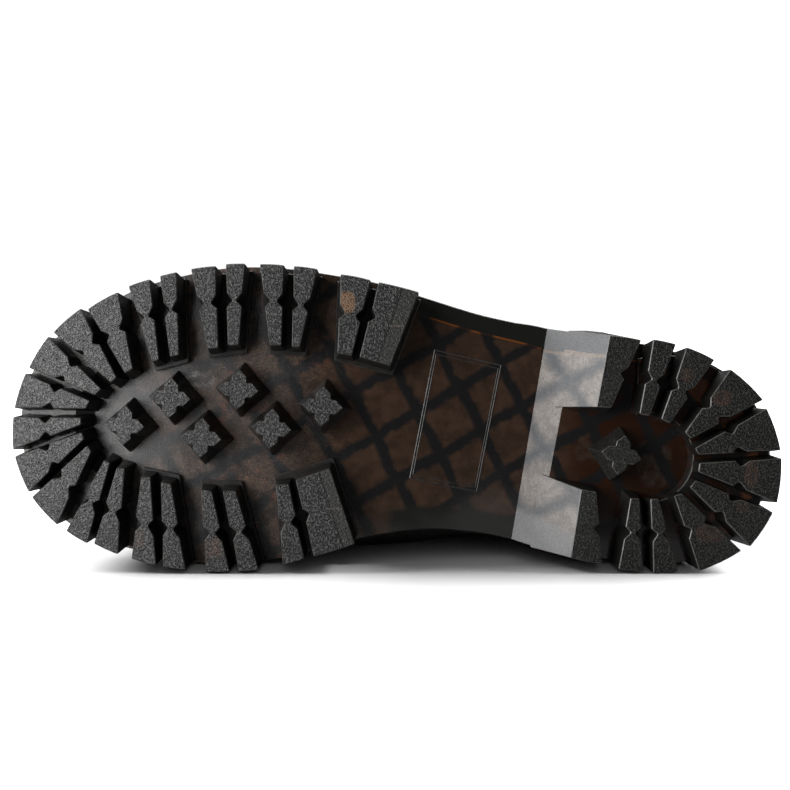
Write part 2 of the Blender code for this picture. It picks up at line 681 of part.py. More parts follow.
def saddle_strap(parts, cutters):
    """Band over the instep, widening towards the sole, with a slot at its middle."""
    angles = [math.pi / 2 * (j + STRAP_FOOT) / RINGS for j in range(1, RINGS)]
    ribbon = [("lateral", a) for a in angles] + [("lateral", math.pi / 2)]
    ribbon += [("medial", a) for a in reversed(angles)]
    rows = []
    for side, angle in ribbon:
        spread = STRAP_FLARE * math.cos(angle) ** 2
        front, rear = STRAP_FRONT_X - spread, STRAP_REAR_X + spread
        xs = [front + (rear - front) * k / STRAP_COLUMNS for k in range(STRAP_COLUMNS + 1)]
        rows.append([surface_at(x, side, angle) for x in xs])
    made = overlay("saddle_strap", rows, STRAP_HEIGHT, parts, STRAP_GAP)
    cut = made.modifiers.new("slot", "BOOLEAN")
    cut.operation = "DIFFERENCE"
    cut.solver = "EXACT"
    cut.object = slot_cutter(cutters)
    return made


def slot_cutter(cutters):
    """Upright prism with the slot's lens shape, across the instep."""
    x = (STRAP_FRONT_X + STRAP_REAR_X) / 2
    y = ridge_point(x).y
    half, steps = SLOT_LENGTH / 2, SLOT_STEPS
    outline = []
    for k in range(-steps, steps):
        outline.append((x + SLOT_WIDTH / 2 * math.cos(math.pi / 2 * k / steps), y + half * k / steps))
    for k in range(steps, -steps, -1):
        outline.append((x - SLOT_WIDTH / 2 * math.cos(math.pi / 2 * k / steps), y + half * k / steps))
    base, rise = top_level(x), smooth(SECTIONS, x, "ridge") + SLOT_BEYOND
    return prism("slot", [(*p, base + SLOT_FROM) for p in outline], [(*p, base + rise) for p in outline], cutters)


def rim_indices():
    """Meridians that end at the collar, once round the opening."""
    return [i for i, line in enumerate(RING) if line.section_x >= THROAT_X]


def topline_binding(parts):
    """Folded tape over the collar's edge: a hooked section carried once round the rim."""
    indices = rim_indices()
    joint = [i for i in indices if RING[i].section_x == THROAT_X]
    path = [i for i in indices if i != joint[-1]]
    loops = []
    for k, i in enumerate(path):
        rim = upper_point(i, 1.0)
        before, after = upper_point(path[k - 1], 1.0), upper_point(path[(k + 1) % len(path)], 1.0)
        out = upper_normal(i, 0.98)
        up = out.cross(after - before).normalized()
        if up.dot(Vector((*COLLAR_MIDDLE, rim.z + COLLAR_AIM)) - rim) < 0:
            up = -up
        loops.append(hook_section(rim, out, up))
    return loft("topline_binding", loops, parts, closed=True)


def hook_section(rim, out, up):
    """Loop of the folded tape: down the outside, over the rim and down the inside."""
    outer, inner = BINDING_GAP, -WALL - BINDING_GAP
    leg, crown = -BINDING_LEG, BINDING_GAP
    thick = BINDING_HEIGHT
    marks = ((outer, leg), (outer + thick, leg), (outer + thick, crown), (outer, crown + thick),
             (inner, crown + thick), (inner - thick, crown), (inner - thick, leg), (inner, leg),
             (inner, crown), (outer, crown))
    return [rim + out * a + up * b for a, b in marks]


def backstay(parts):
    """Strip up the back of the heel, ending under the binding."""
    top = UPPER_STATIONS[-1].lateral.top
    turns = [BACKSTAY_HALF_DEG * k / 2 for k in (-2, -1, 0, 1, 2)]

    def point(degrees, share):
        edge = arc_edge(HEEL_POLE, HEEL_RADIUS, 1, math.copysign(1, degrees), abs(degrees), top)
        line = meridian(Station(edge.x, edge, edge), "lateral")
        return on_meridian(line, line.stop * share)

    rows = []
    for j in range(BACKSTAY_ROWS + 1):
        share = BACKSTAY_FOOT + (BACKSTAY_TOP - BACKSTAY_FOOT) * j / BACKSTAY_ROWS
        row = []
        for degrees in turns:
            up = point(degrees, share + 0.02) - point(degrees, share - 0.02)
            across = point(degrees + 1, share) - point(degrees - 1, share)
            normal = up.cross(across).normalized()
            row.append((point(degrees, share), normal if normal.x > 0 else -normal))
        rows.append(row)
    return overlay("backstay", rows, BACKSTAY_HEIGHT, parts)


# ---------------------------------------------------------------- welt and insole


def ring_order(pick):
    """Values of pick(station, side) once round the shoe."""
    lateral = [pick(s, "lateral") for s in UPPER_STATIONS]
    return lateral + [pick(s, "medial") for s in reversed(UPPER_STATIONS)]


def welt(parts):
    """Flat strip on the sole, round the foot of the upper."""
    def section(station, side):
        edge = getattr(station, side)
        low = top_level(station.x) + GAP
        inner = moved(edge, edge.top - smooth(SECTIONS, edge.x, side + "_margin") + WELT_CLEARANCE)
        outer = moved(edge, edge.top - WELT_SETBACK)
        return [(*inner, low), (*outer, low), (*outer, low + WELT_HEIGHT), (*inner, low + WELT_HEIGHT)]

    return loft("welt", ring_order(section), parts, closed=True)


def insole(parts):
    """Board inside the upper's foot: a loop per station, from side to side."""
    loops = []
    for station in UPPER_STATIONS:
        low = top_level(station.x) + GAP
        ends = []
        for side in ("lateral", "medial"):
            edge = getattr(station, side)
            margin = smooth(SECTIONS, edge.x, side + "_margin")
            ends.append(moved(edge, edge.top - margin - WALL - INSOLE_CLEARANCE))
        a, b = ends
        loops.append([(*a, low), (*b, low), (*b, low + INSOLE_HEIGHT), (*a, low + INSOLE_HEIGHT)])
    return loft("insole", loops, parts)


# ---------------------------------------------------------------- finish and placing

Finish = namedtuple("Finish", "name colour roughness")
RUBBER = Finish("smoked rubber", (0.030, 0.026, 0.023), 0.35)
LEATHER = Finish("black leather", (0.012, 0.012, 0.012), 0.38)
WELT_RUBBER = Finish("welt strip", (0.015, 0.014, 0.013), 0.5)
SOCK = Finish("sock leather", (0.090, 0.062, 0.042), 0.7)
TAPE = Finish("binding tape", (0.014, 0.014, 0.014), 0.6)


def dress(made, finish):
    """Give a piece its own material."""
    material = bpy.data.materials.new(f"{finish.name} {made.name}")
    material.use_nodes = True
    shader = material.node_tree.nodes["Principled BSDF"]
    shader.inputs["Base Color"].default_value = (*finish.colour, 1)
    shader.inputs["Roughness"].default_value = finish.roughness
    shader.inputs["Metallic"].default_value = 0.0
    made.data.materials.append(material)
    made.data.shade_smooth()
    made.data.set_sharp_from_angle(angle=math.radians(35))


def lay_down(pieces, helpers, collection):
    """Parent everything to an empty that turns it onto its side, lowest point on z = 0."""
    lying = bpy.data.objects.new("lying_on_side", None)
    collection.objects.link(lying)
    turn = Matrix.Rotation(math.radians(ROLL_DEG), 4, "Y")
    turn = turn @ Matrix.Rotation(-math.radians(90 + LEAN_DEG), 4, "X")
    for piece in pieces + helpers:
        piece.parent = lying
    bpy.context.view_layer.update()
    graph = bpy.context.evaluated_depsgraph_get()
    corners = []
    for piece in pieces:
        mesh = piece.evaluated_get(graph).to_mesh()
        corners += [turn @ vertex.co for vertex in mesh.vertices]
    low = [min(c[axis] for c in corners) for axis in range(3)]
    high = [max(c[axis] for c in corners) for axis in range(3)]
    place = Vector(((low[0] + high[0]) / -2, (low[1] + high[1]) / -2, -low[2]))
    lying.matrix_world = Matrix.Translation(place) @ turn


def new_collection(name, hidden):
    made = bpy.data.collections.new(name)
    bpy.context.scene.collection.children.link(made)
    made.hide_render = hidden
    return made


def main():
    for old in list(bpy.data.objects):
        bpy.data.objects.remove(old, do_unlink=True)
    parts = new_collection("loafer", False)
    moulded = new_collection("sole forms", True)
    cutters = new_collection("cutters", True)
    pieces = {
        outsole(parts, moulded): RUBBER,
        welt(parts): WELT_RUBBER,
        insole(parts): SOCK,
        upper(parts): LEATHER,
        apron_seam(parts): LEATHER,
        saddle_strap(parts, cutters): LEATHER,
        topline_binding(parts): TAPE,
        backstay(parts): LEATHER,
    }
    helpers = list(moulded.objects) + list(cutters.objects)
    for helper in helpers:
        helper.hide_render = True
        helper.display_type = "WIRE"
    for piece, finish in pieces.items():
        dress(piece, finish)
    lay_down(list(pieces), helpers, parts)


main()
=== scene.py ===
"""A left strap loafer on a smoked rubber lug sole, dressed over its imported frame.

All sizes are in millimetres in the shoe's own frame: the toe points to -X, the inner (medial)
side is +Y, +Z is up and z = 0 is the plane of the treads. Lying turns that frame onto the
shoe's inner side, as the frame lies.
"""

import logging
import math
from dataclasses import dataclass, field
from enum import Enum
from functools import lru_cache, partial, reduce
from typing import Callable, Optional, Sequence

import bmesh
import bpy
from mathutils import Matrix, Vector
from mathutils.bvhtree import BVHTree
from mathutils.kdtree import KDTree


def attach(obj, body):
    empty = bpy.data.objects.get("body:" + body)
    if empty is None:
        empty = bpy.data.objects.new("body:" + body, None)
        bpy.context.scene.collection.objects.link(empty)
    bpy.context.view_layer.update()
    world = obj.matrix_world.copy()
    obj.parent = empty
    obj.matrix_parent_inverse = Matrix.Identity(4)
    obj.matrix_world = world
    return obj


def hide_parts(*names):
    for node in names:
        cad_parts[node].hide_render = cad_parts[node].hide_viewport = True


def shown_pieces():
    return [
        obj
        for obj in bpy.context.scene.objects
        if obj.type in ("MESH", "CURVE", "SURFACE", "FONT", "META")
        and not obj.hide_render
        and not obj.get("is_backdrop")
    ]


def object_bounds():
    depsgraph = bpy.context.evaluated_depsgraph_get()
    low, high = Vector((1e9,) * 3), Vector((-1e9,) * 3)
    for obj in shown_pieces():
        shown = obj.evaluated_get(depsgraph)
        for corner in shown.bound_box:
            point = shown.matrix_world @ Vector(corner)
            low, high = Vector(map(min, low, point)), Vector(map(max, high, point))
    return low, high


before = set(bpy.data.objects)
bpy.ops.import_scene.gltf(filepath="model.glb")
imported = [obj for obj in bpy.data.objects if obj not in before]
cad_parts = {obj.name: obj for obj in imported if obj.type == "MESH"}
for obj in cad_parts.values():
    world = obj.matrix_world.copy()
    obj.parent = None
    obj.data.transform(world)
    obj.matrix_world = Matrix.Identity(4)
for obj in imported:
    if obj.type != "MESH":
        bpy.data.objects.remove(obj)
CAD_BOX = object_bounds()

MM = 0.001
LOG = logging.getLogger("loafer")
Row = tuple[float, ...]
Pair = tuple[float, float]
Triple = tuple[float, float, float]
Colour = Triple
Spot = tuple[Vector, Vector]
Socket = bpy.types.NodeSocket


class Side(Enum):
    """The shoe's two sides, with the sign of their way across."""

    LATERAL = -1
    MEDIAL = 1

    @property
    def word(self) -> str:
        """The side's name as the tables spell it."""
        return self.name.lower()


class Notched(Enum):
    """Which long sides of a lug carry its waisted notch."""

    BOTH = "both"
    TOE = "toe"
    HEEL = "heel"


class Skin(Enum):
    """The outsole's finishes, in the order of its material slots."""

    FLOOR = 0
    TREAD = 1
    WALL = 2
    RAMP = 3
    RIBBED = 4
    EDGE = 5


# --- shape tables


@dataclass(frozen=True)
class Table:
    """Rows of named values along the shoe, joined by smooth curves."""

    columns: tuple[str, ...]
    rows: tuple[Row, ...]

    @lru_cache(maxsize=None)
    def at(self, x: float, column: str) -> float:
        """Read a column between rows.

        Args:
            x: Place along the shoe.
            column: Name of the column.

        Returns:
            The value on a cubic curve through the rows, constant past both ends.
        """
        pick = self.columns.index(column)
        xs = [row[0] for row in self.rows]
        values = [row[pick] for row in self.rows]
        if x <= xs[0]:
            return values[0]
        if x >= xs[-1]:
            return values[-1]
        i = next(k for k in range(len(xs) - 1) if x <= xs[k + 1])
        width = xs[i + 1] - xs[i]
        t = (x - xs[i]) / width
        rise = values[i + 1] - values[i]
        a = self.slope(xs, values, i) * width - rise
        b = rise - self.slope(xs, values, i + 1) * width
        return values[i] + t * rise + t * (1 - t) * (a * (1 - t) + b * t)

    @staticmethod
    def slope(xs: Sequence[float], values: Sequence[float], k: int) -> float:
        """Slope of the curve at row k, from the rows on both sides of it."""
        low, high = max(k - 1, 0), min(k + 1, len(xs) - 1)
        return (values[high] - values[low]) / (xs[high] - xs[low])


WAIST_RISE = 21.0
TREAD_DEPTH = 11.5
BREAST_FOOT_X = 51.2
BREAST_FLOOR_X = 60.2
BREAST_TOP_X = 71.0
BREAST_RUN = 12.3
THROAT_X = 8.0
GAP = 0.3
WALL = 2.0
PER_METRE = 1000.0
MITRE_LIMIT = 0.35
EASING = 0.22

SIDES = Table(
    ("x", "lateral", "medial", "lateral_top", "medial_top"),
    (
        (-112, -41.5, 46.4, -5.0, -5.0), (-98, -48.8, 51.4, -5.0, -5.0),
        (-80, -53.9, 55.3, -5.0, -5.2), (-62, -56.8, 56.5, -4.8, -5.2),
        (-42, -56.4, 54.0, -4.4, -3.0), (-21, -53.4, 48.4, -3.8, 2.8), (-5, -50.6, 45.1, -3.4, 5.8),
        (12, -45.8, 43.6, -3.0, 6.0), (31, -40.2, 45.4, -3.0, 2.6), (50, -35.8, 49.6, -3.4, -1.8),
        (65, -31.9, 51.5, -4.4, -4.4), (82, -30.0, 55.3, -5.4, -5.8), (97, -27.6, 56.6, -6.0, -6.2),
        (112, -23.2, 54.3, -6.2, -6.2),
    ),
)
SLANTS = Table(
    ("x", "shift"), ((12, 0.0), (BREAST_FOOT_X, 7.0), (BREAST_TOP_X, 7.1), (104, 0.0))
)
LEVELS = Table(
    ("x", "top", "floor"),
    (
        (-141, 35.0, TREAD_DEPTH), (-116, 31.6, TREAD_DEPTH), (-93, 29.6, TREAD_DEPTH),
        (-60, 29.0, TREAD_DEPTH), (-32, 30.2, TREAD_DEPTH), (-8, 33.2, 11.9), (20, 37.8, 16.0),
        (BREAST_FOOT_X, 41.8, WAIST_RISE), (80, 44.0, WAIST_RISE), (141, 44.5, WAIST_RISE),
    ),
)
SECTIONS = Table(
    ("x", "lateral_margin", "medial_margin", "ridge", "squareness", "bulge", "lean"),
    (
        (-141, 6.4, 6.4, 35.0, 2.50, 0.05, 0.0), (-93, 6.0, 6.0, 35.5, 2.45, 0.06, 0.0),
        (-76, 5.8, 6.0, 38.0, 2.35, 0.06, 0.0), (-55, 5.6, 6.0, 43.0, 2.25, 0.06, 0.0),
        (-32, 5.6, 6.0, 51.5, 2.18, 0.05, 0.0), (-10, 5.8, 5.6, 63.5, 2.15, 0.03, 0.0),
        (8, 6.2, 5.4, 76.0, 2.25, 0.02, 0.01), (30, 6.8, 5.8, 87.0, 3.00, 0.02, 0.04),
        (55, 7.2, 6.4, 91.0, 4.00, 0.03, 0.08), (85, 7.0, 6.8, 92.0, 4.60, 0.05, 0.12),
        (141, 6.8, 6.8, 92.0, 4.80, 0.08, 0.14),
    ),
)
COLLARS = Table(
    ("x", "height"),
    ((8, 66), (16, 61), (29, 55.5), (45, 52), (65, 51.5), (92, 54.5), (118, 60), (141, 62)),
)


# --- placing


@dataclass(frozen=True)
class Lying:
    """How the shoe lies: turned over its inner side and leaning back on its collar."""

    lean_deg: float = 7.2
    seat: Triple = (0.2, -52.584, 56.65)

    @property
    def matrix(self) -> Matrix:
        """From the shoe's frame, in metres, to the row's."""
        turn = Matrix.Rotation(-math.radians(90 + self.lean_deg), 4, "X")
        return Matrix.Translation(Vector(self.seat) * MM) @ turn

    def place(self, point: Sequence[float]) -> Vector:
        """A point of the shoe, in millimetres, as a place in the row's frame in metres."""
        return self.matrix @ (Vector(point) * MM)

    def aim(self, way: Sequence[float]) -> Vector:
        """A direction of the shoe as one in the row's frame."""
        return self.matrix.to_3x3() @ Vector(way)


LYING = Lying()


# --- outline of the sole


@dataclass(frozen=True)
class Edge:
    """A point of the sole's outline with its outward normal and its wall's reach at the top."""

    x: float
    y: float
    nx: float
    ny: float
    top: float

    def moved(self, distance: float) -> Vector:
        """The point moved outwards."""
        return Vector((self.x + self.nx * distance, self.y + self.ny * distance))


@dataclass(frozen=True)
class Station:
    """A line across the sole between two points of its outline."""

    x: float
    lateral: Edge
    medial: Edge

    def edge(self, side: Side) -> Edge:
        """The end of the line on one side."""
        return self.medial if side is Side.MEDIAL else self.lateral


@dataclass(frozen=True)
class Outline:
    """The sole's outline: two arcs and two long curves."""

    toe_pole: Pair = (-93.2, 2.75)
    toe_radius: float = 47.7
    heel_pole: Pair = (100.9, 15.6)
    heel_radius: float = 40.3
    fan_steps: int = 16
    fan_first: float = 1.5
    fan_widest: Pair = (64.0, 70.0)
    side_span: Pair = (-112.0, 110.0)
    pitch: float = 2.5
    kept: Row = (THROAT_X, BREAST_FOOT_X, BREAST_FLOOR_X)
    kept_clear: float = 0.45
    throat_steps: Row = (0.25, 0.6, 1.1, 1.8)

    def side_edge(self, x: float, side: Side) -> Edge:
        """Find a point of one long side.

        Args:
            x: Place along the shoe.
            side: Which side.

        Returns:
            The point with its normal.
        """
        low, high = max(x - 1, SIDES.rows[0][0]), min(x + 1, SIDES.rows[-1][0])
        slope = (SIDES.at(high, side.word) - SIDES.at(low, side.word)) / (high - low)
        normal = Vector((-side.value * slope, side.value)).normalized()
        return Edge(x, SIDES.at(x, side.word), *normal, SIDES.at(x, side.word + "_top"))

    def arc_edge(self, heel: bool, side: Side, degrees: float) -> Edge:
        """Find a point of the toe's or the heel's arc.

        Args:
            heel: True at the heel's end.
            side: Which half of the arc.
            degrees: Angle from the arc's middle.

        Returns:
            The point with its normal.
        """
        pole = self.heel_pole if heel else self.toe_pole
        radius = self.heel_radius if heel else self.toe_radius
        turn = math.radians(degrees)
        nx, ny = (1 if heel else -1) * math.cos(turn), side.value * math.sin(turn)
        _, _, _, top, _ = SIDES.rows[-1 if heel else 0]
        return Edge(pole[0] + radius * nx, pole[1] + radius * ny, nx, ny, top)

    def fan(self, heel: bool, widest: float) -> list[Station]:
        """Find the stations over one arc.

        Args:
            heel: True at the heel's end.
            widest: Angle of the last station from the arc's middle.

        Returns:
            The stations, out from the arc's middle.
        """
        found = []
        for k in range(self.fan_steps):
            degrees = self.fan_first + (widest - self.fan_first) * k / (self.fan_steps - 1)
            lateral, medial = (self.arc_edge(heel, side, degrees) for side in Side)
            found.append(Station(lateral.x, lateral, medial))
        return found

    @lru_cache(maxsize=None)
    def stations(self) -> tuple[Station, ...]:
        """Find all stations.

        Returns:
            The stations from toe to heel.
        """
        first, last = self.side_span
        steps = round((last - first) / self.pitch)
        xs = [first + (last - first) * k / steps for k in range(steps + 1)]
        clear = self.kept_clear * self.pitch
        xs = [x for x in xs if min(abs(x - kept) for kept in self.kept) > clear]
        xs = sorted(xs + list(self.kept) + [THROAT_X + step for step in self.throat_steps])
        middle = []
        for x in xs:
            shift = SLANTS.at(x, "shift")
            lateral = self.side_edge(x + shift, Side.LATERAL)
            middle.append(Station(x, lateral, self.side_edge(x - shift, Side.MEDIAL)))
        toe, heel = self.fan_widest
        return tuple(self.fan(False, toe) + middle + self.fan(True, heel)[::-1])


OUTLINE = Outline()


@dataclass(frozen=True)
class Heights:
    """Heights of the sole's treads, floors and top."""

    spring: float = 6.0
    spring_from: float = -78.0
    tip: float = -140.9
    power: float = 1.8
    embed: float = 1.5

    def tread(self, x: float) -> float:
        """Height of the treads: flat under ball and heel, sprung at the toe."""
        share = max(0.0, (self.spring_from - x) / (self.spring_from - self.tip))
        return self.spring * share**self.power

    def floor(self, x: float) -> float:
        """Find the height of the sole's bottom between the lugs.

        Args:
            x: Place along the shoe.

        Returns:
            The height, down the slope of the breast behind the waist.
        """
        if x <= BREAST_FOOT_X:
            return self.tread(x) + LEVELS.at(x, "floor")
        share = min(1.0, (x - BREAST_FOOT_X) / (BREAST_FLOOR_X - BREAST_FOOT_X))
        return WAIST_RISE + (TREAD_DEPTH - WAIST_RISE) * share

    def top(self, x: float) -> float:
        """Height of the sole's top."""
        return LEVELS.at(x, "top")

    def root(self, x: float) -> float:
        """Where a lug ends inside the slab."""
        return self.tread(x) + TREAD_DEPTH + self.embed


HEIGHTS = Heights()


# --- meshes


@dataclass
class Form:
    """A mesh in the making: points in millimetres, and faces with the number of their finish."""

    points: list[Vector] = field(default_factory=list)
    faces: list[tuple[int, ...]] = field(default_factory=list)
    finishes: list[int] = field(default_factory=list)

    def grid(self, rows: Sequence[Sequence[Sequence[float]]],
             finish: int | Callable[[int, int], int] = 0, around: bool = False,
             closed: bool = False) -> "Form":
        """Add quads between rows of points.

        Args:
            rows: Rows of equal length.
            finish: The faces' finish, or a rule for it from the row and column.
            around: Each row is a closed loop.
            closed: The last row joins the first.

        Returns:
            This form.
        """
        start, columns, count = len(self.points), len(rows[0]), len(rows)
        for row in rows:
            self.points += [Vector(p) for p in row]
        for i in range(count if closed else count - 1):
            for j in range(columns if around else columns - 1):
                a, b = start + i * columns, start + (i + 1) % count * columns
                k = (j + 1) % columns
                self.faces.append((a + j, a + k, b + k, b + j))
                self.finishes.append(finish(i, j) if callable(finish) else finish)
        return self

    def close_ends(self, count: int, near: int = 0, far: int = 0) -> "Form":
        """Cap the first and the last row.

        Args:
            count: Points in a row.
            near: Finish of the face over the first row.
            far: Finish of the face over the last row.

        Returns:
            This form.
        """
        total = len(self.points)
        self.faces += [tuple(range(count)), tuple(range(total - count, total))]
        self.finishes += [near, far]
        return self

    def join(self, other: "Form") -> "Form":
        """Add another form's points and faces.

        Args:
            other: The form to add.

        Returns:
            This form.
        """
        start = len(self.points)
        self.points += other.points
        self.faces += [tuple(start + k for k in face) for face in other.faces]
        self.finishes += other.finishes
        return self

    def bmesh(self, weld: float) -> bmesh.types.BMesh:
        """Make a bmesh of the form.

        Args:
            weld: Points closer than this become one.

        Returns:
            The bmesh, its faces turned outwards.
        """
        made = bmesh.new()
        corners = [made.verts.new(p) for p in self.points]
        for face, finish in zip(self.faces, self.finishes):
            made.faces.new([corners[k] for k in face]).material_index = finish
        bmesh.ops.remove_doubles(made, verts=made.verts, dist=weld)
        bmesh.ops.recalc_face_normals(made, faces=made.faces)
        return made


def inset(outline: Sequence[Vector], distance: float) -> list[Vector]:
    """Move a closed outline inwards.

    Args:
        outline: Its points in order.
        distance: How far inwards.

    Returns:
        As many points.
    """
    count = len(outline)
    area = sum(a.x * b.y - b.x * a.y for a, b in zip([outline[-1], *outline], outline))
    turn = 1 if area > 0 else -1
    found = []
    for i, point in enumerate(outline):
        before = (point - outline[i - 1]).normalized()
        after = (outline[(i + 1) % count] - point).normalized()
        first, second = Vector((-before.y, before.x)) * turn, Vector((-after.y, after.x)) * turn
        found.append(point + (first + second) * distance / max(MITRE_LIMIT, 1 + first.dot(second)))
    return found


def eased(outline: Sequence[Vector], corners: Sequence[int], radius: float) -> list[Vector]:
    """Round some corners of a closed outline.

    Args:
        outline: Its points in order.
        corners: Numbers of the points to round.
        radius: How far from a corner its rounding starts.

    Returns:
        The points, with three in place of each rounded corner.
    """
    found = []
    for i, point in enumerate(outline):
        if i not in corners:
            found.append(point)
            continue
        before = point + (outline[i - 1] - point).normalized() * radius
        after = point + (outline[(i + 1) % len(outline)] - point).normalized() * radius
        found += [before, (before + after) * EASING + point * (1 - 2 * EASING), after]
    return found


def normal_of(up: Vector, along: Vector, outwards: Callable[[Vector], bool]) -> Vector:
    """Normal of a face from two directions in it, turned by a test of which way is out."""
    found = up.cross(along).normalized()
    return found if outwards(found) else -found


@dataclass
class Block:
    """A moulded block between two outlines, its lower edge chamfered."""

    low: Sequence[Vector]
    high: Sequence[Vector]
    low_level: Callable[[float], float]
    high_level: Callable[[float], float]
    chamfer: float = 0.28
    shares: Row = (0.0, 0.4, 1.0)

    def form(self, face: Skin, wall: Skin | Callable[[int], Skin]) -> Form:
        """Build the block.

        Args:
            face: Finish of the lower face.
            wall: Finish of the walls, or a rule for it from the outline's segment.

        Returns:
            A closed form.
        """
        top = [self.high_level(p.x) for p in self.high]
        base = [self.low_level(p.x) + self.chamfer for p in self.low]
        rows = [[(p.x, p.y, self.low_level(p.x)) for p in inset(self.low, self.chamfer)]]
        for share in self.shares:
            flat = [a.lerp(b, share) for a, b in zip(self.low, self.high)]
            rows.append([(p.x, p.y, z + (t - z) * share) for p, z, t in zip(flat, base, top)])

        def finish(i: int, j: int) -> int:
            """The chamfer's finish in the first row, and below it that of the wall."""
            skin = Skin.EDGE if i == 0 else wall(j) if callable(wall) else wall
            return skin.value

        made = Form().grid(rows, finish, around=True)
        return made.close_ends(len(self.low), face.value, Skin.WALL.value)


def put(name: str, data: bpy.types.ID) -> bpy.types.Object:
    """Make an object and link it to the scene.

    Args:
        name: Its name.
        data: Its mesh, light or camera.

    Returns:
        The object.
    """
    made = bpy.data.objects.new(name, data)
    bpy.context.scene.collection.objects.link(made)
    return made


@dataclass
class Piece:
    """One piece of the dressed shoe: its form, its finishes and the node it stands for.

    The last finish is that of the inside where the piece has a wall. A mark is a number at each
    point, by a rule, that a finish reads.
    """

    name: str
    form: Form
    finishes: Sequence["Finish"]
    stands_for: str = ""
    slot: str = ""
    sharp_deg: float = 32.0
    weld: float = 0.005
    smoothings: int = 0
    wall: float = 0.0
    outward: Optional[Callable[[Vector], Vector]] = None
    marks: dict[str, Callable[[Vector], float]] = field(default_factory=dict)

    def mesh(self) -> bpy.types.Mesh:
        """Make the mesh.

        Returns:
            The mesh, with its materials and its marks.
        """
        made = self.form.bmesh(self.weld)
        if self.outward:
            centres = [(face.normal, face.calc_center_median()) for face in made.faces]
            votes = sum(1 if n.dot(self.outward(c)) > 0 else -1 for n, c in centres)
            if votes < 0:
                bmesh.ops.reverse_faces(made, faces=list(made.faces))
        mesh = bpy.data.meshes.new(self.name)
        made.to_mesh(mesh)
        made.free()
        for name, rule in self.marks.items():
            layer = mesh.attributes.new(name, "FLOAT", "POINT")
            layer.data.foreach_set("value", [rule(v.co) for v in mesh.vertices])
        mesh.transform(LYING.matrix @ Matrix.Scale(MM, 4))
        for finish in self.finishes:
            mesh.materials.append(finish.material())
        mesh.shade_smooth()
        mesh.set_sharp_from_angle(angle=math.radians(self.sharp_deg))
        return mesh

    def build(self) -> bpy.types.Object:
        """Make the object and enter it in the frame.

        Returns:
            The object.
        """
        mesh = self.mesh()
        made = put(self.name, mesh)
        if self.wall:
            shell = made.modifiers.new("wall", "SOLIDIFY")
            shell.thickness = self.wall * MM
            shell.offset = -1
            shell.material_offset = len(self.finishes) - 1
        if self.smoothings:
            smooth = made.modifiers.new("smooth", "SUBSURF")
            smooth.levels = smooth.render_levels = self.smoothings
        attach(made, "root")
        if self.stands_for:
            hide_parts(self.stands_for)
        return made


class Part:
    """A sub-assembly that makes one piece."""

    def piece(self) -> Piece:
        """The piece, with its form and finishes."""
        raise NotImplementedError

    def build(self) -> bpy.types.Object:
        """Build and dress the piece."""
        return self.piece().build()


# --- finishes


